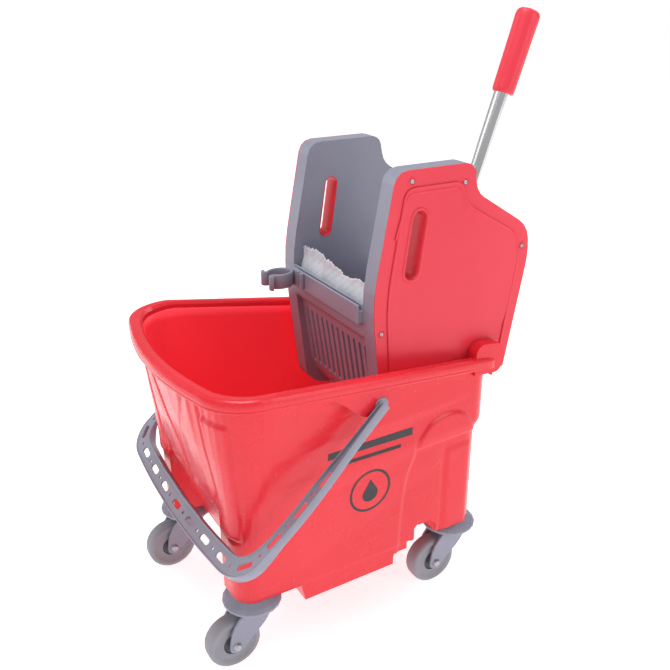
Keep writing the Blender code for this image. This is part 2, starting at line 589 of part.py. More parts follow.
def make_press():
    """Shaft, press plate, bushes and return spring. They share the shaft's axis."""
    y, z = SHAFT_CENTRE
    pivot = (0.0, y, z)
    shaft = [(0.0, -119.0), (SHAFT_RADIUS - 1, -119.0), (SHAFT_RADIUS, -118.0), (SHAFT_RADIUS, 118.0),
             (SHAFT_RADIUS - 1, 119.0), (0.0, 119.0)]
    piece("press_shaft", turned(shaft, "x", pivot, 20), STEEL, pivot=pivot)

    plate = piece("press_plate", prism(circle(11.5, SHAFT_CENTRE, 24), "x", -91.0, 91.0), GREY, pivot=pivot)
    lean = (math.sin(PLATE_LEAN), math.cos(PLATE_LEAN))
    ahead = (-lean[1], lean[0])

    def at(along, forward):
        return (y + lean[0] * along + ahead[0] * forward, z + lean[1] * along + ahead[1] * forward)

    slab = [at(6.0, -3.0), at(PLATE_LENGTH, -3.0), at(PLATE_LENGTH, 3.0), at(6.0, 3.0)]
    join(plate, prism(anticlockwise(slab), "x", -91.0, 91.0))
    for index in range(7):
        x = -72.0 + 24.0 * index
        rib = [at(8.0, -2.0), at(8.0, -10.5), at(PLATE_LENGTH - 30.0, -8.0), at(PLATE_LENGTH - 8.0, -2.0)]
        join(plate, prism(anticlockwise(rib), "x", x - 1.6, x + 1.6))
    cut(plate, prism(circle(SHAFT_RADIUS + GAP, SHAFT_CENTRE, 20), "x", -120.0, 120.0))

    for name, side in (("left", -1), ("right", 1)):
        bush = [(SHAFT_RADIUS + GAP, 96.0), (10.0, 96.0), (10.0, 99.9), (13.5, 99.9), (13.5, 102.0),
                (SHAFT_RADIUS + GAP, 102.0)]
        profile = [(radius, side * along) for radius, along in bush]
        piece("shaft_bush_" + name, turned(profile, "x", pivot, 14), DARK_GREY)

    wire, coil, turns, pitch = 1.1, 11.5, 4, 3.2
    rings = []
    for k in range(turns * 12 + 1):
        angle = 2 * math.pi * k / 12
        radial = Vector((0.0, math.cos(angle), math.sin(angle)))
        centre = Vector((-104.5 - pitch * k / 12, y, z)) + radial * coil
        outward, sideways = radial * wire, Vector((wire, 0.0, 0.0))
        rings.append([centre + outward, centre + sideways, centre - outward, centre - sideways])
    piece("return_spring", loft(rings), STEEL)


def involute(angle):
    return math.tan(angle) - angle


def gear_sector(centre, teeth, first, last, hub, tooth_at):
    """Outline of a toothed sector. Angles run from +y towards +z. tooth_at is the middle of one tooth."""
    pitch_radius = GEAR_MODULE * teeth / 2
    base = pitch_radius * math.cos(math.radians(20.0))
    tip = pitch_radius + GEAR_MODULE
    root = pitch_radius - 1.25 * GEAR_MODULE
    backlash = 0.22 / pitch_radius
    half_pitch = math.pi / (2 * teeth) - backlash + involute(math.radians(20.0))

    def point(radius, angle):
        return (centre[0] + radius * math.cos(angle), centre[1] + radius * math.sin(angle))

    pitch = 2 * math.pi / teeth
    low = math.ceil((first - tooth_at) / pitch)
    high = math.floor((last - tooth_at) / pitch)
    outline = []
    for n in range(low, high + 1):
        middle = tooth_at + n * pitch
        flank = []
        for k in range(4):
            radius = max(base, root) + (tip - max(base, root)) * k / 3
            pressure = math.acos(min(1.0, base / radius))
            flank.append((radius, half_pitch - involute(pressure)))
        outline.append(point(root, middle - flank[0][1]))
        outline += [point(radius, middle - spread) for radius, spread in flank]
        outline += [point(radius, middle + spread) for radius, spread in reversed(flank)]
        outline.append(point(root, middle + flank[0][1]))
    middle = (first + last) / 2
    for k in range(5):
        angle = middle + math.radians(100.0) + math.radians(160.0) * k / 4
        outline.append(point(hub, angle))
    return outline


def make_lever():
    """Lever gear on its pin, chrome tube and grip, and the gear on the press shaft."""
    y, z = LEVER_CENTRE
    pivot = (LEVER_X, y, z)
    pin = [(0.0, 93.4), (9.0, 93.4), (9.0, 96.7), (PIN_RADIUS, 96.7), (PIN_RADIUS, 122.0),
           (PIN_RADIUS - 1, 123.0), (0.0, 123.0)]
    piece("lever_pin", turned(pin, "x", (0.0, y, z), 16), STEEL)

    low, high = LEVER_X - 5.0, LEVER_X + 5.0
    facing = GEAR_LINE + math.pi
    margin = math.radians(13.0)
    lever_teeth = gear_sector(LEVER_CENTRE, LEVER_TEETH, facing - margin, facing + LEVER_STROKE + margin,
                              12.0, facing)
    lever_gear = piece("lever_gear", prism(anticlockwise(lever_teeth), "x", low, high), DARK_GREY,
                       pivot=pivot)
    join(lever_gear, prism(circle(13.0, LEVER_CENTRE, 20), "x", 101.0, 121.5))
    along = (0.0, math.sin(LEVER_LEAN), math.cos(LEVER_LEAN))
    join(lever_gear, tube_between(pivot, along, [(4.0, 9.0), (80.0, 9.0)], 16))
    cut(lever_gear, prism(circle(PIN_RADIUS + GAP, LEVER_CENTRE, 16), "x", 90.0, 130.0))

    tube = piece("lever_tube", tube_between(pivot, along, [(18.0, TUBE_RADIUS), (412.0, TUBE_RADIUS)], 20),
                 CHROME, pivot=pivot)
    cut(tube, tube_between(pivot, along, [(10.0, 9.0 + GAP), (420.0, 9.0 + GAP)], 20))
    grip = piece("lever_grip", tube_between(pivot, along, [
        (GRIP_START, 13.2), (GRIP_START + 2, 14.3), (GRIP_START + 60, 14.3), (LEVER_LENGTH - 12, 15.6),
        (LEVER_LENGTH - 4, 14.6), (LEVER_LENGTH - 1, 12.0), (LEVER_LENGTH, 8.0)], 18), RED, pivot=pivot)
    bore = TUBE_RADIUS + GAP
    cut(grip, tube_between(pivot, along, [(GRIP_START - 5, bore), (413.0, bore)], 20))

    half_tooth = math.pi / PLATE_TEETH
    plate_teeth = gear_sector(SHAFT_CENTRE, PLATE_TEETH, GEAR_LINE - PLATE_STROKE - margin,
                              GEAR_LINE + margin, 13.0, GEAR_LINE + half_tooth)
    shaft_pivot = (0.0, *SHAFT_CENTRE)
    plate_gear = piece("plate_gear", prism(anticlockwise(plate_teeth), "x", low, high), DARK_GREY,
                       pivot=shaft_pivot)
    join(plate_gear, prism(circle(13.5, SHAFT_CENTRE, 20), "x", 102.6, 117.5))
    cut(plate_gear, prism(circle(SHAFT_RADIUS + GAP, SHAFT_CENTRE, 20), "x", 90.0, 130.0))


def main():
    for old in list(bpy.data.objects):
        bpy.data.objects.remove(old, do_unlink=True)
    make_tub()
    for name, (x, y) in CASTORS.items():
        make_castor(name, x, y)
    make_bail()
    make_bail_pivots()
    make_side_box("left", -1)
    make_side_box("right", 1)
    make_cover_screws()
    make_front_pieces()
    make_press()
    make_lever()


main()
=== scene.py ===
"""Looks of the wheeled mop bucket with wringer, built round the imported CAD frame.

Helper shapes are laid out in millimetres with y measured back from the front castors' swivel axes,
as in the part's own design, and put() turns them into the frame's metres.
"""

import json
import math

import bmesh
import bpy
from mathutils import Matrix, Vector
from mathutils.bvhtree import BVHTree


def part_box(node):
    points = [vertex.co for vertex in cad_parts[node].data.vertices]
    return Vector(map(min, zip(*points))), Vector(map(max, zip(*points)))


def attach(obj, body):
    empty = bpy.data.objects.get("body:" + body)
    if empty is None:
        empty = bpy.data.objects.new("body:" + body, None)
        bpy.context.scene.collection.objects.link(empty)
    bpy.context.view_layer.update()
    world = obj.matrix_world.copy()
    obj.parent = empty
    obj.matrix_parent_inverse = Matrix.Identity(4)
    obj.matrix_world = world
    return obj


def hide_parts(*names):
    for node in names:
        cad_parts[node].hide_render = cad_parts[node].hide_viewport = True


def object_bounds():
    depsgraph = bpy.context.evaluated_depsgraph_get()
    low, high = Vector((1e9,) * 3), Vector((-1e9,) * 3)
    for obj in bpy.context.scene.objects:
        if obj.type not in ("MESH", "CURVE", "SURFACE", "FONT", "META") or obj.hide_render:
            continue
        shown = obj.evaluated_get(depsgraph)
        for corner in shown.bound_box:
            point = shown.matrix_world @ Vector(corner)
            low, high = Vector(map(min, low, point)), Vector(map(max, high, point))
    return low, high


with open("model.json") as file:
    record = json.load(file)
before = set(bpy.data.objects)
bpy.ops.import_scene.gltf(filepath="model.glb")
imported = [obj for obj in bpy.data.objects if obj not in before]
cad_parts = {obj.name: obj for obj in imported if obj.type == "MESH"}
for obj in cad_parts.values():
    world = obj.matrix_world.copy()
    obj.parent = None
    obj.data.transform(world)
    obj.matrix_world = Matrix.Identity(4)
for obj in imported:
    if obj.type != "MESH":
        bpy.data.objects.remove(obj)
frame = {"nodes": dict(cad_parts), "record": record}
CAD_LOW, CAD_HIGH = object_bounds()
NODES = frame["nodes"]
JOINTS = {joint["name"]: joint for joint in frame["record"]["behaviour"]["joints"]}
MM = 0.001
MIDDLE_Y = -Vector(JOINTS["swivel_front_right"]["pos_m"]).y / MM
FRONT_LIMIT = CAD_LOW[1] / MM + MIDDLE_Y
SIDE_LIMIT = CAD_HIGH[0] / MM
SIDES = (("left", -1), ("right", 1))


def put(x, y, z):
    """A point in mm, y behind the front castors, as metres in the frame."""
    return Vector((x * MM, (y - MIDDLE_Y) * MM, z * MM))


def design(point):
    """A point of the frame as design mm: put() the other way round."""
    return Vector((point[0] / MM, point[1] / MM + MIDDLE_Y, point[2] / MM))


def node_box(name):
    """The two corners of a CAD node's box in design mm."""
    low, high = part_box(name)
    return design(low), design(high)


def add_object(name, data):
    made = bpy.data.objects.new(name, data)
    bpy.context.scene.collection.objects.link(made)
    return made


def add_mesh(name, mesh):
    """A new object that takes over a bmesh."""
    data = bpy.data.meshes.new(name)
    mesh.to_mesh(data)
    mesh.free()
    return add_object(name, data)


def set_inputs(node, **values):
    """Constants on a shader node's sockets. Spaces in a socket's name are written as underscores."""
    for name, value in values.items():
        node.inputs[name.replace("_", " ")].default_value = value


# ---- Camera, light and floor ----
CAMERA_AT = put(957.0, -350.7, 861.5)
CAMERA_AZIMUTH = math.radians(60.18)
CAMERA_ELEVATION = math.radians(23.16)
LENS_MM = 45.22
WHITE = (1.0, 1.0, 1.0, 1.0)


def look_along(target, direction):
    target.rotation_mode = "QUATERNION"
    target.rotation_quaternion = direction.to_track_quat("-Z", "Y")


def make_camera():
    data = bpy.data.cameras.new("camera")
    data.lens = LENS_MM
    data.sensor_width = 36.0
    data.clip_start = 0.05
    data.clip_end = 40.0
    camera = add_object("camera", data)
    back = Vector((math.sin(CAMERA_AZIMUTH) * math.cos(CAMERA_ELEVATION),
                   -math.cos(CAMERA_AZIMUTH) * math.cos(CAMERA_ELEVATION), math.sin(CAMERA_ELEVATION)))
    camera.location = CAMERA_AT
    look_along(camera, -back)
    bpy.context.scene.camera = camera


def area_light(name, location, target, size, power):
    data = bpy.data.lights.new(name, "AREA")
    data.shape = "DISK"
    data.size = size
    data.energy = power
    light = add_object(name, data)
    light.location = location
    look_along(light, Vector(target) - Vector(location))


def make_studio():
    world = bpy.data.worlds.new("studio")
    bpy.context.scene.world = world
    world.use_nodes = True
    nodes, links = world.node_tree.nodes, world.node_tree.links
    soft = nodes["Background"]
    set_inputs(soft, Color=WHITE, Strength=0.40)
    backdrop = nodes.new("ShaderNodeBackground")
    set_inputs(backdrop, Color=WHITE)
    seen = nodes.new("ShaderNodeLightPath")
    mix = nodes.new("ShaderNodeMixShader")
    links.new(seen.outputs["Is Camera Ray"], mix.inputs["Fac"])
    links.new(soft.outputs["Background"], mix.inputs[1])
    links.new(backdrop.outputs["Background"], mix.inputs[2])
    links.new(mix.outputs["Shader"], nodes["World Output"].inputs["Surface"])
    middle = (0.0, 0.0, 0.35)
    area_light("key", (0.9, -2.3, 2.6), middle, 1.5, 15.0)
    area_light("overhead", (-0.1, -0.25, 2.7), (0.0, 0.0, 0.2), 1.1, 30.0)
    area_light("side", (2.6, 1.6, 1.5), middle, 1.6, 22.0)
    area_light("fill", (-2.2, -1.8, 1.6), middle, 1.8, 11.0)
    area_light("rim", (-0.6, 2.6, 2.2), middle, 1.4, 13.0)
    bpy.context.scene.view_settings.view_transform = "Standard"

    mesh = bmesh.new()
    bmesh.ops.create_grid(mesh, x_segments=2, y_segments=2, size=14.0)
    floor = add_mesh("floor", mesh)
    floor.location.z = -0.0005
    look = bpy.data.materials.new("floor")
    look.use_nodes = True
    set_inputs(look.node_tree.nodes["Principled BSDF"], Base_Color=(0.90, 0.90, 0.91, 1.0), Roughness=0.8,
               Specular_IOR_Level=0.1, Emission_Color=WHITE, Emission_Strength=0.64)
    floor.data.materials.append(look)


# ---- Materials ----
class Look:
    """Builds one Principled material from a few procedural layers."""

    def __init__(self, name, **inputs):
        self.material = bpy.data.materials.new(name)
        self.material.use_nodes = True
        self.tree = self.material.node_tree
        self.shader = self.tree.nodes["Principled BSDF"]
        set_inputs(self.shader, Coat_Roughness=0.12, **inputs)
        self.height = None

    def node(self, kind, **inputs):
        made = self.tree.nodes.new(kind)
        set_inputs(made, **inputs)
        return made

    def link(self, output, target):
        self.tree.links.new(output, target)

    def noise(self, scale, detail=3.0, rough=0.55, stretch=(1.0, 1.0, 1.0)):
        place = self.node("ShaderNodeTexCoord")
        mapping = self.node("ShaderNodeMapping", Scale=stretch)
        self.link(place.outputs["Object"], mapping.inputs["Vector"])
        made = self.node("ShaderNodeTexNoise", Scale=scale, Detail=detail, Roughness=rough)
        self.link(mapping.outputs["Vector"], made.inputs["Vector"])
        return made.outputs["Fac"]

    def mottle(self, factor, first, second, low=0.30, high=0.70):
        """One colour running into another as a factor goes from low to high."""
        made = self.node("ShaderNodeValToRGB")
        for element, at, colour in zip(made.color_ramp.elements, (low, high), (first, second)):
            element.position = at
            element.color = (*colour, 1.0)
        self.link(factor, made.inputs["Fac"])
        return made.outputs["Color"]

    def span(self, factor, low, high):
        made = self.node("ShaderNodeMapRange", To_Min=low, To_Max=high)
        self.link(factor, made.inputs["Value"])
        return made.outputs["Result"]

    def bump(self, height, strength, distance):
        made = self.node("ShaderNodeBump", Strength=strength, Distance=distance)
        self.link(height, made.inputs["Height"])
        if self.height is not None:
            self.link(self.height, made.inputs["Normal"])
        self.height = made.outputs["Normal"]
        self.link(self.height, self.shader.inputs["Normal"])

    def paler_convex_edges(self, colour, edge_colour, amount):
        """Lightens convex edges, found from a small bevel of the normal."""
        bevel = self.node("ShaderNodeBevel", Radius=0.0014)
        bevel.samples = 4
        geometry = self.node("ShaderNodeNewGeometry")
        dot = self.node("ShaderNodeVectorMath")
        dot.operation = "DOT_PRODUCT"
        self.link(bevel.outputs["Normal"], dot.inputs[0])
        self.link(geometry.outputs["Normal"], dot.inputs[1])
        edge = self.node("ShaderNodeMapRange", From_Min=0.995, From_Max=0.80, To_Max=amount)
        self.link(dot.outputs["Value"], edge.inputs["Value"])
        mix = self.node("ShaderNodeMix")
        mix.data_type = "RGBA"
        self.link(edge.outputs["Result"], mix.inputs["Factor"])
        self.link(colour, mix.inputs["A"])
        mix.inputs["B"].default_value = (*edge_colour, 1.0)
        return mix.outputs["Result"]


def make_look(name, flow, colours, bumps, patches=None, edge=None, limits=(0.30, 0.70), **inputs):
    """A material whose colour wanders between two. Its layers are noises, each given by its settings.

    bumps are (noise, strength, distance), patches (noise, smoothest, roughest) and edge (colour, amount).
    """
    look = Look(name, **inputs)
    base = look.mottle(look.noise(*flow), *colours, *limits)
    look.link(look.paler_convex_edges(base, *edge) if edge else base, look.shader.inputs["Base Color"])
    if patches:
        noise, smoothest, roughest = patches
        look.link(look.span(look.noise(*noise), smoothest, roughest), look.shader.inputs["Roughness"])
    for noise, strength, distance in bumps:
        look.bump(look.noise(*noise), strength, distance)
    return look.material


def red_plastic(name, roughness, grain, pale=1.0, painted_glow=0.0):
    """Moulded red polypropylene: faint flow marks, fine orange peel and paler edges. Its last argument sets
    a painted glow: red emission that lights the part, though it is no lamp.
    """
    return make_look(name, (5.0, 4.0, 0.6, (1.0, 1.0, 0.45)),
                     ((0.755, 0.034 * pale, 0.058 * pale), (0.825, 0.046 * pale, 0.076 * pale)),
                     [((900.0, 2.0), grain, 0.00012), ((70.0, 2.0), 0.05, 0.0002)],
                     ((38.0, 4.0), roughness - 0.06, roughness + 0.10), ((0.90, 0.10, 0.14), 0.3),
                     Specular_IOR_Level=0.36, Coat_Weight=0.05,
                     # The emission is painted light: a red glow standing in for lamp light.
                     Emission_Color=(0.80, 0.020, 0.030, 1.0), Emission_Strength=painted_glow)


DRAWN = (420.0, 2.0, 0.5, (1.0, 0.05, 0.02))         # noise stretched into lines along the tube
LOOKS = {
    "red_plastic": red_plastic("red_plastic", 0.24, 0.15, 0.58),
    "red_cover": red_plastic("red_cover", 0.34, 0.6),
    "red_grip": red_plastic("red_grip", 0.40, 0.5),
    # The inside look glows: painted light that brightens the tub's inner wall, though it is no lamp.
    "red_inside": red_plastic("red_inside", 0.45, 0.3, 0.8, 0.34),
    # Bluish grey polypropylene with a fine spark texture and light scuffs
    "grey_plastic": make_look(
        "grey_plastic", (9.0, 5.0, 0.6), ((0.255, 0.264, 0.340), (0.302, 0.310, 0.392)),
        [((1100.0, 2.0), 0.5, 0.00012)], ((60.0, 5.0), 0.33, 0.52), ((0.48, 0.49, 0.55), 0.4),
        Coat_Weight=0.05),
    "dark_plastic": make_look(
        "dark_plastic", (20.0, 4.0), ((0.050, 0.052, 0.064), (0.085, 0.088, 0.105)),
        [((800.0, 2.0), 0.4, 0.0001)], Roughness=0.5),
    # Grey non-marking rubber, duller and dustier than the plastic
    "tyre_grey": make_look(
        "tyre_rubber", (16.0, 6.0, 0.65), ((0.270, 0.265, 0.300), (0.350, 0.342, 0.378)),
        [((500.0, 4.0), 0.45, 0.0002)], ((16.0, 6.0, 0.65), 0.55, 0.78), ((0.46, 0.46, 0.50), 0.35),
        (0.32, 0.72), Specular_IOR_Level=0.35),
    # Chromed steel tube with faint drawing lines along it and a few dull spots
    "chrome": make_look(
        "chrome", (14.0, 3.0), ((0.80, 0.81, 0.83), (0.90, 0.90, 0.91)),
        [(DRAWN, 0.06, 0.00005)], (DRAWN, 0.07, 0.20), Metallic=1.0),
    "steel": make_look(
        "zinc_steel", (160.0, 4.0), ((0.36, 0.36, 0.38), (0.50, 0.50, 0.52)),
        [((700.0, 3.0), 0.2, 0.00008)], ((160.0, 4.0), 0.24, 0.44), Metallic=1.0),
    # Thin white film: slightly see-through, with soft creases
    "white_film": make_look(
        "white_film", (22.0, 4.0), ((0.72, 0.72, 0.79), (0.86, 0.86, 0.91)),
        [((45.0, 4.0, 0.6, (1.0, 1.0, 0.5)), 0.5, 0.0015)], ((50.0, 3.0), 0.32, 0.55),
        Transmission_Weight=0.12),
    "print_ink": make_look(
        "print_ink", (60.0, 3.0), ((0.010, 0.009, 0.012), (0.022, 0.020, 0.026)),
        [((600.0, 2.0), 0.2, 0.00005)], Roughness=0.45),
}


# ---- Mesh helpers ----
def keep(name, mesh, look, body="bucket", smooth=40.0):
    """A new piece from a bmesh in metres, with one of the looks, riding on a body."""
    bmesh.ops.recalc_face_normals(mesh, faces=mesh.faces)
    made = add_mesh(name, mesh)
    made.data.materials.append(LOOKS[look])
    made.data.shade_smooth()
    made.data.set_sharp_from_angle(angle=math.radians(smooth))
    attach(made, body)
    return made


def thicken(target, thickness):
    solid = target.modifiers.new("thickness", "SOLIDIFY")
    solid.thickness = thickness * MM
    solid.offset = 0.0


def soften(node_name, look, width):
    """Give a CAD node its material, and round its sharp edges."""
    target = NODES[node_name]
    target.data.materials.clear()
    target.data.materials.append(look)
    weld = target.modifiers.new("weld", "WELD")
    weld.merge_threshold = 0.00001
    if width > 0:
        bevel = target.modifiers.new("round", "BEVEL")
        bevel.width = width
        bevel.segments = 3
        bevel.limit_method = "ANGLE"
        bevel.angle_limit = math.radians(28.0)
        bevel.loop_slide = False
    normals = target.modifiers.new("normals", "WEIGHTED_NORMAL")
    normals.keep_sharp = True
    normals.weight = 80


# ---- Surfaces ----
def ease(value, low, high):
    """0 below low, 1 above high, and a smooth rise between them."""
    t = min(1.0, max(0.0, (value - low) / (high - low)))
    return t * t * (3.0 - 2.0 * t)


def along_line(points, value):
    """Straight interpolation through (value, result) points in rising order, held at both ends."""
    if value <= points[0][0]:
        return points[0][1]
    for (low, first), (high, last) in zip(points, points[1:]):
        if value <= high:
            return first + (last - first) * (value - low) / (high - low)
    return points[-1][1]


def distance_to_path(path, u, v):
    """Shortest distance in mm from (u, v) to an open run of points."""
    best = 1e9
    for (u0, v0), (u1, v1) in zip(path, path[1:]):
        du, dv = u1 - u0, v1 - v0
        t = ((u - u0) * du + (v - v0) * dv) / (du * du + dv * dv)
        t = min(1.0, max(0.0, t))
        best = min(best, math.hypot(u - u0 - du * t, v - v0 - dv * t))
    return best


def curve_through(points, steps=6):
    """A smooth run of points through a few given ones."""
    padded = [points[0], *points, points[-1]]
    run = []
    for p0, p1, p2, p3 in zip(padded, padded[1:], padded[2:], padded[3:]):
        for k in range(steps):
            t = k / steps
            run.append(tuple(0.5 * (2 * b + (c - a) * t + (2 * a - 5 * b + 4 * c - d) * t * t
                                    + (3 * b - a - 3 * c + d) * t ** 3)
                             for a, b, c, d in zip(p0, p1, p2, p3)))
    run.append(points[-1])
    return run


def inside_outline(outline, u, v):
    inside = False
    for (u0, v0), (u1, v1) in zip(outline, outline[1:] + outline[:1]):
        if (v0 > v) != (v1 > v) and u < u0 + (v - v0) * (u1 - u0) / (v1 - v0):
            inside = not inside
    return inside


class Surface:
    """The outer face of one mesh, found by casting lines at it. Works in design mm."""

    def __init__(self, mesh):
        self.tree = BVHTree.FromPolygons([design(v.co) for v in mesh.vertices],
                                         [list(face.vertices) for face in mesh.polygons])

    def hit(self, start, direction):
        point, normal, _, _ = self.tree.ray_cast(Vector(start), Vector(direction).normalized())
        return point, normal

    def top(self, spot):
        """Height of the surface seen from above a point of the plan."""
        return self.hit((spot.x, spot.y, 500.0), (0.0, 0.0, -1.0))[0].z


TUB = Surface(NODES["bucket_tub"].data)


def heading_at(line, k, reach=1):
    """Direction of a run of points near one of them."""
    return (line[min(k + reach, len(line) - 1)] - line[max(k - reach, 0)]).normalized()


def circle(centre, radius, count):
    return [(centre[0] + radius * math.cos(2 * math.pi * k / count),
             centre[1] + radius * math.sin(2 * math.pi * k / count)) for k in range(count)]


def band(mesh, one, two):
    """Faces between two closed loops of verts."""
    for k in range(len(one)):
        after = (k + 1) % len(one)
        mesh.faces.new((one[k], one[after], two[after], two[k]))


def sheet_faces(mesh, rows):
    """Faces between open rows of verts."""
    for one, two in zip(rows, rows[1:]):
        for k in range(len(one) - 1):
            mesh.faces.new((one[k], one[k + 1], two[k + 1], two[k]))


def skin_rings(mesh, rings, cap=False, closed=False):
    """Join rings of verts with the same count into a tube."""
    for lower, upper in zip(rings, rings[1:]):
        band(mesh, lower, upper)
    if closed:
        band(mesh, rings[-1], rings[0])
    if cap:
        mesh.faces.new(rings[0][::-1])
        mesh.faces.new(rings[-1])


def swept(line, section, place):
    """A (sideways, other) section carried along a flat run. place() gives each of its points in metres."""
    mesh = bmesh.new()
    rings = []
    for k, point in enumerate(line):
        heading = heading_at(line, k)
        out = Vector((heading.y, -heading.x))
        rings.append([mesh.verts.new(place(point + out * u, other)) for u, other in section])
    skin_rings(mesh, rings, cap=True)
    return mesh


def turned(profile, centre, count):
    """A ring turned about a line across the bucket through (y, z), from a closed (radius, x) profile."""
    mesh = bmesh.new()
    rings = []
    for k in range(count):
        angle = 2 * math.pi * k / count
        rings.append([mesh.verts.new(put(x, centre[0] + radius * math.cos(angle),
                                         centre[1] + radius * math.sin(angle))) for radius, x in profile])
    skin_rings(mesh, rings, closed=True)
    return mesh


# ---- The tub's moulded skin ----
SKIN = 1.5                  # how far the skin's plain stretches stand off the CAD wall
INSET = 1.0                 # how far the skin reaches into the CAD wall
OUTSIDE = 60.0              # how far outside the guide outline the lines at the wall start
RAYS = 1440
PANEL_TOP = 262.0           # where the sides' front panel ends and the hump stands

# The keel's half widths as (z, x), the shields' lower edge as (x, z), and the corner strips as
# (z, inner x, outer x), all from the bucket's middle plane. HUMP and PANEL_EDGE are (y, z).
KEEL = [(215.0, 5.0), (262.0, 9.0), (300.0, 17.0), (335.0, 31.0), (370.0, 50.0), (405.0, 70.0)]
SHIELD_FOOT = [(0.0, 209.0), (22.0, 210.0), (50.0, 217.0), (84.0, 233.0), (104.0, 262.0)]
STRIP = [(200.0, 114.0, 143.0), (300.0, 107.0, 145.0), (370.0, 104.0, 147.0)]
HUMP = curve_through([(243.0, 262.0), (244.0, 276.0), (252.0, 287.0), (264.0, 299.0), (285.0, 306.0),
                      (308.0, 306.0), (328.0, 297.0), (344.0, 276.0), (350.0, 262.0)])
PANEL_EDGE = curve_through([(241.0, 262.0), (239.0, 250.0), (231.0, 232.0), (226.0, 205.0), (222.0, 160.0),
                            (218.0, 60.0)])


def front_relief(x, z):
    """Height in mm of the front's relief: a keel between two glossy shields, in mirror image."""
    side = abs(x)
    keel = along_line(KEEL, z)
    foot = along_line(SHIELD_FOOT, side)
    strip_low = along_line([(low, first) for low, first, _ in STRIP], z)
    to_keel = side - keel
    to_foot = z - foot
    to_strip = strip_low - 4.0 - side
    within = min(to_keel, to_foot, to_strip)
    if to_keel <= 0.0 or within < -8.0:
        return 0.6 * ease(keel - side, 0.0, 3.0) if z > 205.0 and side < keel else 0.0
    groove = -1.4 * (1.0 - ease(abs(within), 0.4, 2.2))
    second = -0.8 * (1.0 - ease(abs(within - 6.5), 0.3, 1.6)) if to_strip > 10.0 else 0.0
    panel = 2.1 * ease(within, 1.6, 4.2) + 1.0 * ease(within, 8.0, 30.0)
    return groove + second + panel


def corner_relief(side, z):
    """The raised strip down each front corner."""
    if z < 200.0 or z > 384.0:
        return 0.0
    low = along_line([(level, first) for level, first, _ in STRIP], z)
    high = along_line([(level, last) for level, _, last in STRIP], z)
    across = min(ease(side, low - 1.2, low + 0.8), 1.0 - ease(side, high - 0.8, high + 1.2))
    return 3.2 * across * ease(z, 206.0, 209.0) * (1.0 - ease(z, 372.0, 376.0))


def side_relief(y, z):
    """The sides: a raised front panel, the hump under the wringer, and the rear leg's flutes."""
    height = 0.0
    if z < PANEL_TOP:
        edge = along_line([(v, u) for u, v in reversed(PANEL_EDGE)], z)
        height += 2.0 * (1.0 - ease(y, edge - 1.5, edge + 2.5)) * ease(y, 0.0, 60.0)
        height += 2.0 * (ease(y, 299.0, 303.0) - ease(y, 341.0, 346.0)) * (
            1.0 - ease(z, 240.0, 250.0))
        height -= 1.1 * (1.0 - ease(abs(y - 295.0), 1.2, 3.4)) * (1.0 - ease(z, 246.0, 256.0))
    else:
        height += 2.0 * (1.0 - ease(y, 238.0, 246.0)) * ease(y, 0.0, 60.0) * (
            1.0 - ease(z, PANEL_TOP, 300.0))
        if inside_outline(HUMP, y, z):
            height += 3.2 * ease(distance_to_path(HUMP, y, z), 0.0, 5.0)
    return height


def skin_relief(point, normal):
    """Height of the skin over the CAD wall, in mm, at a point whose outward direction is normal."""
    front = ease(-normal.y, 0.55, 0.80)
    sideways = ease(abs(normal.x), 0.80, 0.95)
    height = corner_relief(abs(point.x), point.z) * ease(-normal.y, 0.12, 0.3)
    if front > 0.0:
        height += front * front_relief(point.x, point.z)
    if sideways > 0.0:
        height += sideways * side_relief(point.y, point.z)
    return height


def guide_outline(level):
    """Evenly spaced points round the tub at one level, with smoothed outward directions."""
    middle = Vector((0.0, 165.0, level))
    ring = []
    for k in range(RAYS):
        angle = 2 * math.pi * k / RAYS
        away = Vector((math.sin(angle), -math.cos(angle), 0.0))
        point, _ = TUB.hit(middle + away * 400.0, -away)
        ring.append(point)
    lengths = [0.0]
    for before, after in zip(ring, ring[1:] + ring[:1]):
        lengths.append(lengths[-1] + (after - before).length)
    spots, index, travelled = [], 0, 0.0
    while travelled < lengths[-1] - 1.0:
        while lengths[index + 1] < travelled:
            index += 1
        part = (travelled - lengths[index]) / max(1e-6, lengths[index + 1] - lengths[index])
        here = ring[index].lerp(ring[(index + 1) % RAYS], part)
        spots.append(here)
        front, rear = here.y < 40.0, here.y > 356.0
        travelled += 2.0 if front else (9.0 if rear else 2.8)
    count = len(spots)
    directions = []
    for k in range(count):
        before, after = spots[(k - 4) % count], spots[(k + 4) % count]
        run = (after - before).normalized()
        directions.append(Vector((run.y, -run.x, 0.0)))
    return spots, directions


def wall_depth(spot, away, level):
    """How far outside the guide outline the wall is at a level, or None where there is no wall."""
    start = Vector((spot.x, spot.y, level)) + away * OUTSIDE
    point, _ = TUB.hit(start, -away)
    return None if point is None else OUTSIDE - (point - start).length


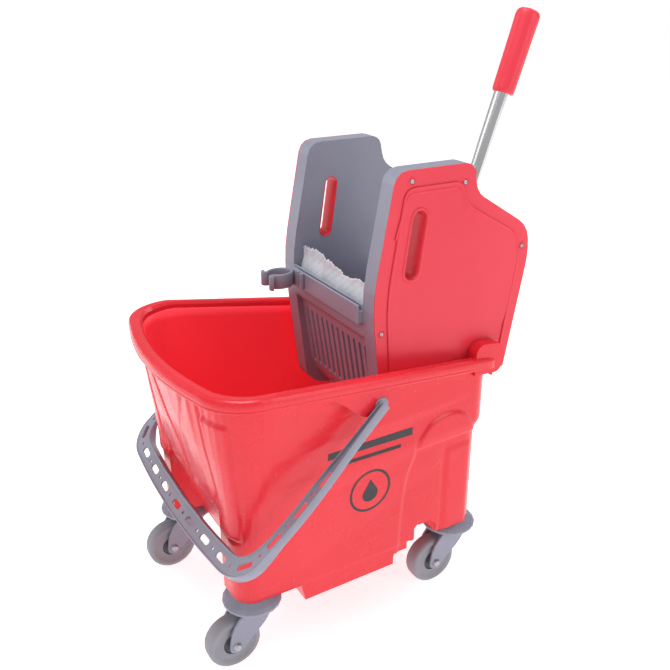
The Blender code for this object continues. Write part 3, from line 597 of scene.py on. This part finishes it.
def make_tub_skin():
    """A moulded skin over the tub's outer wall that carries its ribs, shields and hump."""
    spots, directions = guide_outline(300.0)
    foot = node_box("bucket_tub")[0].z
    fixed = [foot + 2.7 * k for k in range(93)]
    spread = 24
    columns = []
    for spot, away in zip(spots, directions):
        # The rim juts out above the second level, so the wall's line through both is carried on.
        first, last = (324.0, 338.0) if spot.y < 335.0 else (300.0, 320.0)
        low, high = (wall_depth(spot, away, level) for level in (first, last))
        plain = wall_depth(spot, away, 140.0)
        top = TUB.top(spot + away * (high + 6.0)) - 9.0
        run = []
        for level in fixed + [fixed[-1] + (top - fixed[-1]) * (k + 1) / spread for k in range(spread)]:
            depth = low + (high - low) * (level - first) / (last - first)
            if level <= last:
                depth = wall_depth(spot, away, level)
            if depth is None or depth < plain - OUTSIDE:
                depth = plain
            run.append((level, depth))
        columns.append(run)

    mesh = bmesh.new()
    outer, inner = [], []
    for spot, away, run in zip(spots, directions, columns):
        outer_run, inner_run = [], []
        for level, depth in run:
            base = Vector((spot.x, spot.y, level)) + away * depth
            fade = 1.0 - ease(spot.y, 352.0, 362.0)
            lift = SKIN + skin_relief(base, away) * fade
            outer_run.append(mesh.verts.new(put(*(base + away * lift))))
            inner_run.append(mesh.verts.new(put(*(base - away * INSET))))
        outer.append(outer_run)
        inner.append(inner_run)
    count = len(outer)
    for k in range(count):
        after = (k + 1) % count
        for n in range(len(outer[0]) - 1):
            mesh.faces.new((outer[k][n], outer[after][n], outer[after][n + 1], outer[k][n + 1]))
            mesh.faces.new((inner[k][n], inner[k][n + 1], inner[after][n + 1], inner[after][n]))
        mesh.faces.new((inner[k][0], inner[after][0], outer[after][0], outer[k][0]))
        mesh.faces.new((outer[k][-1], outer[after][-1], inner[after][-1], inner[k][-1]))
    skin = keep("tub_skin", mesh, "red_plastic", smooth=60.0)

    # Everything under the tub's stepped lower edge is cut away.
    below = [(-150.0, 60.0), (-150.0, 108.4), (60.2, 108.4), (67.0, 81.3), (213.0, 81.3), (213.0, 97.3),
             (237.0, 97.3), (237.0, 108.4), (249.6, 108.4), (249.6, 126.2), (253.8, 131.4), (279.2, 131.4),
             (287.9, 122.2), (287.9, 108.4), (600.0, 108.4), (600.0, 60.0)]
    cut_with(skin, [extrude_x(below, -300.0, 300.0)])
    return skin


# Front, front corner and rear corner of the rim's outer and inner edges, as plan_outline() wants them
RIM_PLAN = ((0.0, -90.5, 110.0), (189.0, -46.0, 58.0), (147.0, 384.0, 24.0))
RIM_INSIDE = ((0.0, -73.5, 110.0), (173.5, -30.5, 52.0), (131.5, 368.5, 20.0))


def plan_outline(corners, steps):
    """Closed plan from its front, front corner and rear corner, each (x, y, where its arc starts)."""
    front, side, rear = corners
    ring = [front, side, rear, (-rear[0], *rear[1:]), (-side[0], *side[1:])]
    outline = []
    for index, (x, y, start) in enumerate(ring):
        here = Vector((x, y))
        before = (Vector(ring[index - 1][:2]) - here).normalized()
        after = (Vector(ring[(index + 1) % len(ring)][:2]) - here).normalized()
        turn = math.pi - before.angle(after)
        handle = start * (1.0 - 4.0 / 3.0 * math.tan(turn / 4.0) / math.tan(turn / 2.0))
        first, last = here + before * start, here + after * start
        for k in range(steps + 1):
            t = k / steps
            outline.append(first * (1 - t) ** 3 + (here + before * handle) * 3 * t * (1 - t) ** 2
                           + (here + after * handle) * 3 * t * t * (1 - t) + last * t ** 3)
    return outline


def round_front(outer, inner, spacing, rear, stop):
    """Matching points on two closed plans, from one side round the front to the other side."""
    pairs = []
    for a, c, b, d in zip(outer, outer[1:] + outer[:1], inner, inner[1:] + inner[:1]):
        parts = max(1, round((c - a).length / spacing))
        pairs += [(a.lerp(c, k / parts), b.lerp(d, k / parts)) for k in range(parts)]
    start = next(k for k, (spot, _) in enumerate(pairs) if spot.y > rear)
    return [pair for pair in pairs[start:] + pairs[:start] if pair[0].y < stop]


def make_rim():
    """The rolled rim: round over the top, with a small ledge above its lower edge."""
    profile = [(3.0, -15.9), (0.9, -16.4), (-0.3, -15.6), (-0.5, -13.9), (-0.2, -12.9), (0.1, -12.2),
               (-0.4, -11.2), (-0.5, -8.0), (-0.2, -5.6), (0.5, -3.4), (1.6, -1.7), (3.1, -0.5), (5.0, 0.3),
               (7.4, 0.5), (10.4, 0.4), (12.8, -0.2), (14.6, -1.5), (15.7, -3.6), (16.1, -7.0),
               (16.0, -11.0), (14.0, -11.0)]
    mesh = bmesh.new()
    rings = []
    outside, inside = plan_outline(RIM_PLAN, 26), plan_outline(RIM_INSIDE, 26)
    for out, into in round_front(outside, inside, spacing=6.0, rear=380.0, stop=334.0):
        across = (into - out).normalized()
        height = TUB.top(out.lerp(into, 0.5))
        ring = []
        for inward, lift in profile:
            spot = out + across * inward
            ring.append(mesh.verts.new(put(spot.x, max(spot.y, FRONT_LIMIT), height + lift)))
        rings.append(ring)
    skin_rings(mesh, rings, cap=True)
    keep("rim_roll", mesh, "red_plastic", smooth=50.0)


def make_lining():
    """The smooth inner wall of the tub, in front of and beside the wringer."""
    middle = Vector((0.0, 150.0))

    def room(level, away):
        """Distance from the middle to the CAD wall at a level."""
        point, _ = TUB.hit((middle.x, middle.y, level), (away.x, away.y, 0.0))
        return (Vector(point[:2]) - middle).length

    plan = plan_outline(RIM_INSIDE, 20)
    mesh = bmesh.new()
    runs = []
    for spot, _ in round_front(plan, plan, spacing=5.0, rear=360.0, stop=312.0):
        away = (spot - middle).normalized()
        rim = TUB.top(spot + away * 6.0)
        knots = [(level, room(level, away) - clear)
                 for level, clear in ((113.0, 0.6), (233.0, 1.1), (rim - 10.0, 0.5))]
        # The upper stretch moves in as far as the wall bulges past it.
        (low, first), (top, last) = knots[1:]
        bulge = max([0.0] + [first + (last - first) * k / 10 + 0.6 - room(low + (top - low) * k / 10, away)
                             for k in range(1, 10)])
        knots[1:] = [(low, first - bulge), (top, last - bulge)]
        steps = [(low + (top - low) * k / 12, first + (last - first) * k / 12)
                 for (low, first), (top, last) in zip(knots, knots[1:]) for k in range(12)]
        run = []
        for level, distance in steps + [knots[-1]]:
            here = middle + away * distance
            run.append(mesh.verts.new(put(here.x, here.y, level)))
        runs.append(run)
    sheet_faces(mesh, runs)
    # The lining's look glows: painted light on the tub's inner wall.
    lining = keep("tub_lining", mesh, "red_inside", smooth=60.0)
    thicken(lining, 0.6)


def prism(low, high):
    """A closed prism between two matching outlines, as lists of points and faces."""
    count = len(low)
    faces = [list(range(count))[::-1], list(range(count, 2 * count))]
    faces += [[k, (k + 1) % count, count + (k + 1) % count, count + k] for k in range(count)]
    return low + high, faces


def extrude_x(outline, low, high):
    """A closed prism across the bucket, from a (y, z) outline."""
    return prism([put(low, *spot) for spot in outline], [put(high, *spot) for spot in outline])


def cut_with(target, prisms, solver="EXACT"):
    """Cut closed prisms out of a piece and keep the result as its mesh."""
    mesh = bmesh.new()
    for points, faces in prisms:
        verts = [mesh.verts.new(point) for point in points]
        for face in faces:
            mesh.faces.new([verts[k] for k in face])
    bmesh.ops.recalc_face_normals(mesh, faces=mesh.faces)
    cutter = add_mesh("cutter", mesh)
    step = target.modifiers.new("cut", "BOOLEAN")
    step.operation = "DIFFERENCE"
    step.solver = solver
    step.object = cutter
    shape = bpy.data.meshes.new_from_object(target.evaluated_get(bpy.context.evaluated_depsgraph_get()))
    target.modifiers.clear()
    old = target.data
    target.data = shape
    bpy.data.meshes.remove(old)
    bpy.data.objects.remove(cutter, do_unlink=True)


# ---- The bail ----
BAIL_PIVOT = design(JOINTS["bail_swing"]["pos_m"])[1:]
BAIL_DROOP = math.radians(38.6)
BAIL_TOP = 7.5                          # half the bail's depth, square to its hanging plane
BAIL_CORNERS = [(173.6, -2.5, 0.0), (197.0, 186.0, 40.0), (196.0, 271.0, 43.0), (90.0, 280.5, 40.0),
                (0.0, 283.0, 0.0)]
WINDOW_PITCH = 48.0
GRIP_REACH = 63.0                       # half the length of the bar that has finger ridges
BARE_END = 112.0                        # length at each end of the bail with no windows


def bail_point(across, along, normal):
    """A point of the bail in design mm: across the bucket, along its hanging plane, square to that."""
    y = BAIL_PIVOT[0] - along * math.cos(BAIL_DROOP) - normal * math.sin(BAIL_DROOP)
    z = BAIL_PIVOT[1] - along * math.sin(BAIL_DROOP) + normal * math.cos(BAIL_DROOP)
    return (across, y, z)


def round_corners(corners, steps=14):
    """An open run of points with its corners rounded. Each corner is (u, v, where its arc starts)."""
    run = [corners[0][:2]]
    for before, here, after in zip(corners, corners[1:], corners[2:]):
        middle = Vector(here[:2])
        start = middle + (Vector(before[:2]) - middle).normalized() * here[2]
        end = middle + (Vector(after[:2]) - middle).normalized() * here[2]
        for k in range(steps + 1):
            t = k / steps
            point = start * (1 - t) ** 2 + middle * (2 * t * (1 - t)) + end * t * t
            run.append((point.x, point.y))
    run.append(corners[-1][:2])
    return run


def even_run(run, spacing):
    """The same run with points a fixed distance apart, as (point, distance from the start)."""
    points = [Vector(p) for p in run]
    total = sum((b - a).length for a, b in zip(points, points[1:]))
    count = max(2, round(total / spacing))
    result, index, travelled = [], 0, 0.0
    for k in range(count + 1):
        goal = total * k / count
        while index < len(points) - 2 and travelled + (points[index + 1] - points[index]).length < goal:
            travelled += (points[index + 1] - points[index]).length
            index += 1
        span = (points[index + 1] - points[index]).length
        result.append((points[index].lerp(points[index + 1], (goal - travelled) / span), goal))
    return result


def bail_width(along):
    return 10.4 + 7.2 * ease(along, 30.0, 150.0) + 10.0 * ease(along, 205.0, 268.0)


def bail_path():
    """Even points along the whole bail, with headings and distances from the middle of its bar."""
    half = round_corners(BAIL_CORNERS)
    whole = half + [(-u, v) for u, v in reversed(half[:-1])]
    run = even_run(whole, 2.0)
    total = run[-1][1]
    line = [point for point, _ in run]
    stations = []
    for k, (point, travelled) in enumerate(run):
        stations.append((point, heading_at(line, k, 3), travelled - total / 2))
    return stations


def make_bail():
    """Channel with raised lips, rows of windows and a ribbed finger grip, swept along the bail."""
    stations = bail_path()
    mesh = bmesh.new()
    rings = []
    for point, heading, travelled in stations:
        half = bail_width(point.y) / 2
        outward = Vector((heading.y, -heading.x))
        ribs = abs(math.sin(math.pi * travelled / 7.0)) if abs(travelled) < GRIP_REACH else 0.0
        inner = -half - ribs
        low = -4.4 - 3.1 * ease(point.y, 200.0, 268.0)
        web = 2.4 + 3.6 * ease(point.y, 95.0, 150.0)
        inner_low = low + (web - 3.4 - low) * (1.0 - ease(point.y, 225.0, 272.0))
        section = [(half - 0.8, low), (half, low + 1.2), (half, 6.2), (half - 0.45, 7.2),
                   (half - 1.1, BAIL_TOP), (half - 1.8, 7.2), (half - 2.3, web + 0.5),
                   (half - 2.9, web), (2.9 - half, web),
                   (2.3 - half, web + 0.5), (1.8 - half, 7.2), (1.1 - half, BAIL_TOP), (inner + 0.45, 7.2),
                   (inner, 6.2), (-half, inner_low + 0.5), (0.8 - half, inner_low), (2.4 - half, inner_low),
                   (2.6 - half, web - 2.4), (half - 2.4, web - 2.4), (half - 2.4, low)]
        ring = []
        for u, n in section:
            flat = point + outward * u
            flat.x = max(-SIDE_LIMIT, min(SIDE_LIMIT, flat.x))
            ring.append(mesh.verts.new(put(*bail_point(flat.x, flat.y, n))))
        rings.append(ring)
    skin_rings(mesh, rings, cap=True)
    bail = keep("bail_moulding", mesh, "grey_plastic", "bail", 38.0)

    windows = []
    reach = stations[-1][2] - BARE_END
    half_pitch = WINDOW_PITCH / 2
    for index in range(-int(reach / half_pitch), int(reach / half_pitch) + 1):
        spot = index * half_pitch
        point, heading, _ = min(stations, key=lambda station: abs(station[2] - spot))
        room = bail_width(point.y) - 6.2
        if index % 2 == 0:
            length, width = 24.0, min(8.4, room * 0.80)
        else:
            length, width = 5.0, min(4.6, room * 0.50)
        windows.append(window_prism(point, heading, length, width))
    cut_with(bail, windows, solver="MANIFOLD")
    bail.data.shade_smooth()
    bail.data.set_sharp_from_angle(angle=math.radians(38.0))
    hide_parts("bail_handle")

    seat = node_box("bail_pivot_right")[0].x
    washer = [(1.0, 0.5), (4.4, 0.5), (4.4, 7.0), (9.4, 7.7), (9.8, 8.5), (9.8, 12.1), (9.2, 12.9),
              (1.0, 12.9)]
    for name, side in SIDES:
        ring = turned([(radius, side * (seat + out)) for radius, out in washer], BAIL_PIVOT, 40)
        stud = keep("bail_washer_" + name, ring, "grey_plastic")
        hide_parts("bail_pivot_" + name)


def window_prism(point, heading, length, width):
    """A round-ended slot through the bail's web, as a closed prism for cutting."""
    outward = Vector((heading.y, -heading.x))
    radius = min(length, width) / 2 - 0.01
    outline = []
    for quarter in range(4):
        sign_u = 1 if quarter in (0, 1) else -1
        sign_v = 1 if quarter in (0, 3) else -1
        for k in range(5):
            angle = math.pi / 2 * (quarter + k / 4)
            u = sign_u * (length / 2 - radius) + radius * math.sin(angle)
            v = sign_v * (width / 2 - radius) + radius * math.cos(angle)
            outline.append(point + heading * u + outward * v)
    return prism(*([put(*bail_point(p.x, p.y, n)) for p in outline] for n in (-1.5, 9.5)))


# ---- Print on the sides ----
def side_patch(surface, outline_sets, name, side):
    """Flat ink shapes laid just over the skin. Each set is (outer outline, inner outline or None)."""
    mesh = bmesh.new()
    for outer, inner in outline_sets:
        rims = [ink_ring(mesh, surface, outer, side, lift) for lift in (0.10, 0.22)]
        if inner is None:
            mesh.faces.new(rims[0][::-1])
            mesh.faces.new(rims[1])
            skirts = [rims]
        else:
            cores = [ink_ring(mesh, surface, inner, side, lift) for lift in (0.10, 0.22)]
            for rim, core in zip(rims, cores):
                band(mesh, rim, core)
            skirts = [rims, cores]
        for low, high in skirts:
            band(mesh, low, high)
    keep(name, mesh, "print_ink", smooth=30.0)


def ink_ring(mesh, surface, outline, side, lift):
    ring = []
    for y, z in outline:
        point, normal = surface.hit((side * 300.0, y, z), (-side, 0.0, 0.0))
        ring.append(mesh.verts.new(put(*(point + normal * lift))))
    return ring


def bar_outline(start, end, width, steps=24):
    """A long thin strip as a run of points along both edges."""
    a, b = Vector(start), Vector(end)
    across = (b - a).normalized().orthogonal() * width / 2
    upper = [a.lerp(b, k / steps) + across for k in range(steps + 1)]
    lower = [a.lerp(b, k / steps) - across for k in range(steps, -1, -1)]
    return [tuple(p) for p in upper + lower]


def droplet(centre, size, steps=28):
    """A water drop, pointed at the top."""
    points = []
    for k in range(steps):
        angle = 2 * math.pi * k / steps
        sharp = max(0.0, math.cos(angle)) ** 3
        points.append((centre[0] + size * math.sin(angle) * (1.0 - 0.75 * sharp),
                       centre[1] + size * (math.cos(angle) + 0.85 * sharp)))
    return points


def make_print(skin):
    """A generic wet-surface mark on each side: two plain bars and a ringed water drop."""
    surface = Surface(skin.data)
    centre = (167.0, 224.0)
    for name, side in SIDES:
        side_patch(surface, [(bar_outline((98.0, 300.0), (234.0, 296.0), 11.0), None),
                             (bar_outline((118.0, 283.0), (214.0, 280.0), 5.0), None),
                             (circle(centre, 33.0, 48), circle(centre, 33.0 - 3.6, 48)),
                             (droplet((167.0, 219.0), 12.5), None)], "side_print_" + name, side)


# ---- The wringer's trim ----
HAND_SLOT = ((237.0, 515.0), (247.0, 583.0))    # (y, z) of its round ends' centres
FRAME_INSIDE = node_box("frame_right")[0].x
COVER_FACE = node_box("cover_right")[1].x


def slot_ring(first, last, radius, steps=14):
    """Outline of a slot with round ends, in (y, z)."""
    heading = math.atan2(last[1] - first[1], last[0] - first[0])
    points = []
    for centre, start in ((last, heading - math.pi / 2), (first, heading + math.pi / 2)):
        for step in range(steps + 1):
            angle = start + math.pi * step / steps
            points.append((centre[0] + radius * math.cos(angle), centre[1] + radius * math.sin(angle)))
    return points


def make_slot_linings():
    """Red sleeves through the side boxes' hand slots, flared where they meet the covers."""
    profile = [(10.35, FRAME_INSIDE - 0.4), (9.3, FRAME_INSIDE - 0.4), (8.9, FRAME_INSIDE + 0.4)]
    flare = [(8.9, -4.1), (9.6, -1.0), (11.0, 1.0), (12.6, 1.4), (14.0, 1.0), (15.0, -0.2), (15.0, -1.2),
             (10.35, -1.2)]
    profile += [(radius, COVER_FACE + out) for radius, out in flare]
    for name, side in SIDES:
        mesh = bmesh.new()
        outlines = [slot_ring(*HAND_SLOT, radius) for radius, _ in profile]
        rings = []
        for k in range(len(outlines[0])):
            rings.append([mesh.verts.new(put(side * x, *outline[k]))
                          for outline, (_, x) in zip(outlines, profile)])
        skin_rings(mesh, rings, closed=True)
        keep("slot_lining_" + name, mesh, "red_cover")


def make_cover_borders():
    """A slim raised border round each cover's field, with a second line along the top."""
    border = [(392.0, 364.0, 0.0), (414.5, 508.0, 16.0), (407.0, 542.0, 16.0), (323.0, 590.0, 12.0),
              (310.0, 622.0, 10.0), (226.0, 622.0, 14.0), (202.0, 478.0, 40.0), (210.0, 364.0, 0.0)]
    second = [(212.0, 560.0, 0.0), (228.5, 616.0, 10.0), (306.5, 616.0, 8.0), (320.0, 584.0, 0.0)]
    section = [(-1.6, 0.2), (-1.0, 0.75), (0.0, 1.0), (1.0, 0.75), (1.6, 0.2), (1.6, -0.4), (-1.6, -0.4)]
    for name, side in SIDES:
        for index, corners in enumerate((border, second)):
            line = [p for p, _ in even_run(round_corners(corners, 8), 2.5)]
            mesh = swept(line, section, lambda flat, lift: put(
                side * (COVER_FACE - 0.3 + lift), flat.x, flat.y))
            keep("cover_border_%s_%d" % (name, index + 1), mesh, "red_cover", smooth=60.0)


def make_screws():
    """Small pan heads with a cross recess, each in a moulded ring."""
    head = [(2.7, -1.6), (2.9, -0.7), (2.4, 0.0), (1.2, 0.3)]
    recess = [(-1.7, -0.35), (1.7, -0.35), (1.7, 0.35), (-1.7, 0.35)]
    collar = [(3.3, -1.6), (3.5, -0.7), (4.1, -0.4), (4.8, -0.8), (5.1, -1.6)]
    for name, side in SIDES:
        for index in range(4):
            node = "cover_screw_%s_%d" % (name, index + 1)
            low, high = node_box(node)
            centre = ((low + high) / 2)[1:]
            mesh = bmesh.new()
            skin_rings(mesh, [[mesh.verts.new(put(side * (COVER_FACE + out), *spot))
                               for spot in circle(centre, radius, 24)] for radius, out in head], cap=True)
            made = keep(node + "_head", mesh, "steel")
            for corners in (recess, [(-v, u) for u, v in recess]):
                slot = [(centre[0] + u, centre[1] + v) for u, v in corners]
                cut_with(made, [extrude_x(slot, side * (COVER_FACE - 0.5), side * (COVER_FACE + 1.4))])
            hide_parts(node)
            ring = turned([(radius, side * (COVER_FACE + out)) for radius, out in collar], centre, 28)
            keep(node + "_collar", ring, "red_cover", smooth=50.0)


def make_liner_sheet():
    """The loose film between rail and strainer: soft upright folds and a ragged upper edge."""
    across, upward = 96, 26
    low, high = node_box("liner_sheet")
    bottom, left, right = low.z + 1.0, low.x + 0.5, high.x - 0.5
    edge = curve_through([(-94.0, 497.0), (-70.0, 499.0), (-45.0, 498.5), (-15.0, 495.0), (0.0, 491.0),
                          (18.0, 486.5), (38.0, 487.5), (60.0, 491.0), (80.0, 488.0), (94.0, 484.0)])
    mesh = bmesh.new()
    rows = []
    for n in range(upward + 1):
        row = []
        for k in range(across + 1):
            x = left + (right - left) * k / across
            top = along_line(edge, x) + 1.1 * math.sin(x * 0.9) + 0.7 * math.sin(x * 2.3 + 1.0)
            share = n / upward
            z = bottom + (top - bottom) * share
            loose = ease(z, 445.0, 488.0)
            fold = 2.4 + 1.7 * math.sin(x * 0.105 + 0.7) + 1.1 * math.sin(x * 0.27 + 2.0 + 0.02 * z)
            crease = 0.35 * math.sin(x * 0.8 + z * 0.25) + 0.25 * math.sin(x * 0.45 - z * 0.5)
            lean = 4.5 * loose * loose
            row.append(mesh.verts.new(put(x, low.y + 1.0 + loose * (fold + crease) + lean, z)))
        rows.append(row)
    sheet_faces(mesh, rows)
    area = sum(face.calc_area() for face in mesh.faces)
    sheet = keep("liner_film", mesh, "white_film", smooth=180.0)
    thicken(sheet, 0.3)
    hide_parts("liner_sheet")


# ---- Clip, castors and lever ----
CLIP_LOW, CLIP_HIGH = node_box("mop_clip")
CLIP_CENTRE = ((CLIP_LOW.x + CLIP_HIGH.x) / 2 - 1.0, (CLIP_LOW.y + CLIP_HIGH.y) / 2 + 1.15)


def make_clip():
    """Round-edged spring clip for the mop's handle, on a plate with a small block beside it."""
    line = []
    for k in range(49):
        angle = math.radians(-58.0 + 296.0 * k / 48)
        line.append(Vector(CLIP_CENTRE) + Vector((15.2 * math.cos(angle), 18.6 * math.sin(angle))))
    right = [Vector((-63.0, 134.2)), Vector((-64.2, 131.2)), Vector((-67.4, 130.4)), Vector((-70.4, 132.4))]
    left = [Vector((2 * CLIP_CENTRE[0] - p.x, p.y)) for p in right]
    line = [p for p, _ in even_run(right + line + left[::-1], 1.2)]
    low, high, half = CLIP_LOW.z + 2.0, CLIP_HIGH.z - 1.5, 1.95
    section = [(half, low + 1.6), (half - 0.5, low + 0.5), (half - 1.5, low), (1.5 - half, low),
               (0.5 - half, low + 0.5), (-half, low + 1.6), (-half, high - 1.6), (0.5 - half, high - 0.5),
               (1.5 - half, high), (half - 1.5, high), (half - 0.5, high - 0.5), (half, high - 1.6)]
    mesh = swept(line, section, lambda flat, z: put(flat.x, flat.y, z))
    clip = keep("clip_jaws", mesh, "grey_plastic", smooth=50.0)
    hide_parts("mop_clip")

    plate = ((CLIP_LOW.x, CLIP_HIGH.y - 3.9, CLIP_LOW.z), (CLIP_HIGH.x, CLIP_HIGH.y, CLIP_HIGH.z - 0.1))
    block = ((CLIP_HIGH.x + 3.0, CLIP_HIGH.y - 4.7, CLIP_LOW.z + 1.0),
             (CLIP_HIGH.x + 11.0, CLIP_HIGH.y + 0.2, CLIP_HIGH.z - 0.3))
    for name, (low, high) in (("clip_plate", plate), ("clip_block", block)):
        mesh = bmesh.new()
        corners = [mesh.verts.new(put(x, y, z)) for x in (low[0], high[0]) for y in (low[1], high[1])
                   for z in (low[2], high[2])]
        for face in ((0, 1, 3, 2), (4, 6, 7, 5), (0, 4, 5, 1), (2, 3, 7, 6), (0, 2, 6, 4), (1, 5, 7, 3)):
            mesh.faces.new([corners[k] for k in face])
        bmesh.ops.bevel(mesh, geom=mesh.edges[:], offset=1.0 * MM, segments=3, affect="EDGES", profile=0.5)
        keep(name, mesh, "grey_plastic", smooth=50.0)


def make_castor_trim():
    """Round-shouldered tyres and turned caps over the axles' ends."""
    tread = [(27.0, 10.2), (29.0, 11.6), (31.5, 12.0), (34.2, 11.4), (36.3, 9.6), (37.3, 6.8), (37.5, 3.4)]
    tyre = [(16.4, -10.2)] + [(radius, -across) for radius, across in tread] + tread[::-1] + [(16.4, 10.2)]
    nut = [(0.6, -20.0), (3.4, -20.0), (4.4, -19.4), (4.6, -17.9), (0.6, -17.9)]
    for name in ("front_left", "front_right", "rear_left", "rear_right"):
        x, *axle = design(JOINTS["roll_" + name]["pos_m"])
        ring = turned([(radius, x + across) for radius, across in tyre], axle, 72)
        made = keep("tyre_round_" + name, ring, "tyre_grey", "wheel_" + name)
        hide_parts("castor_tyre_" + name)
        for end, sign in (("a", 1), ("b", -1)):
            cap = turned([(radius, x - sign * across) for radius, across in nut], axle, 24)
            keep("axle_cap_%s_%s" % (name, end), cap, "steel", "swivel_" + name)


def make_grip():
    """Moulded grip with long flutes and a rounded end."""
    start, end = 323.0, 427.0               # distances from the lever's pivot
    pivot = Vector([c / MM for c in JOINTS["lever_swing"]["pos_m"]])
    low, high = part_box("lever_tube")
    tube = (Vector(low) + Vector(high)) / 2 / MM - pivot
    lean = math.atan2(tube.y, tube.z)
    along = Vector((0.0, math.sin(lean), math.cos(lean)))
    across, other = Vector((1.0, 0.0, 0.0)), Vector((0.0, math.cos(lean), -math.sin(lean)))
    spans = [(start, 11.2), (start, 12.4), (start + 0.8, 13.3), (start + 3, 14.0), (start + 6, 14.2)]
    spans += [(start + 10 + 6 * k, 14.2 + 0.06 * k) for k in range(12)]
    spans += [(end - 16, 15.2), (end - 10, 15.4), (end - 6, 14.9), (end - 3, 13.4), (end - 1.2, 11.0),
              (end - 0.3, 7.0), (end, 3.0)]
    mesh = bmesh.new()
    count = 72
    rings = []
    for distance, radius in spans:
        flute = 0.7 * ease(distance, start + 4, start + 12)
        flute *= 1.0 - ease(distance, end - 26, end - 16)
        ring = []
        for k in range(count):
            angle = 2 * math.pi * k / count
            grip = radius - flute * max(0.0, math.cos(angle * 12)) ** 2
            point = pivot + along * distance + (across * math.cos(angle) + other * math.sin(angle)) * grip
            ring.append(mesh.verts.new(point * MM))
        rings.append(ring)
    skin_rings(mesh, rings, cap=True)
    grip = keep("grip_moulding", mesh, "red_grip", "lever", 50.0)
    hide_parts("lever_grip")


# ---- Run ----
ROUNDING = {"bucket_tub": 0.0011, "bail_handle": 0.0010, "frame_left": 0.0007, "frame_right": 0.0007,
            "mop_clip": 0.0010, "castor_tyre": 0.0012, "castor_fork": 0.0010, "castor_bumper": 0.0008,
            "lever_grip": 0.0004, "lever_tube": 0.0003, "return_spring": 0.0, "liner_sheet": 0.0,
            "cover_left": 0.0006, "cover_right": 0.0006, "front_rail": 0.0010}


def finish_cad_nodes():
    slots = {part["node"]: part["material_slot"] for part in frame["record"]["subparts"]}
    for name in NODES:
        width = next((w for start, w in ROUNDING.items() if name.startswith(start)), 0.0003)
        soften(name, LOOKS[slots[name]], width)


make_camera()
make_studio()
finish_cad_nodes()
tub_skin = make_tub_skin()
make_print(tub_skin)
make_rim()
make_lining()
make_bail()
make_slot_linings()
make_cover_borders()
make_screws()
make_liner_sheet()
make_clip()
make_castor_trim()
make_grip()
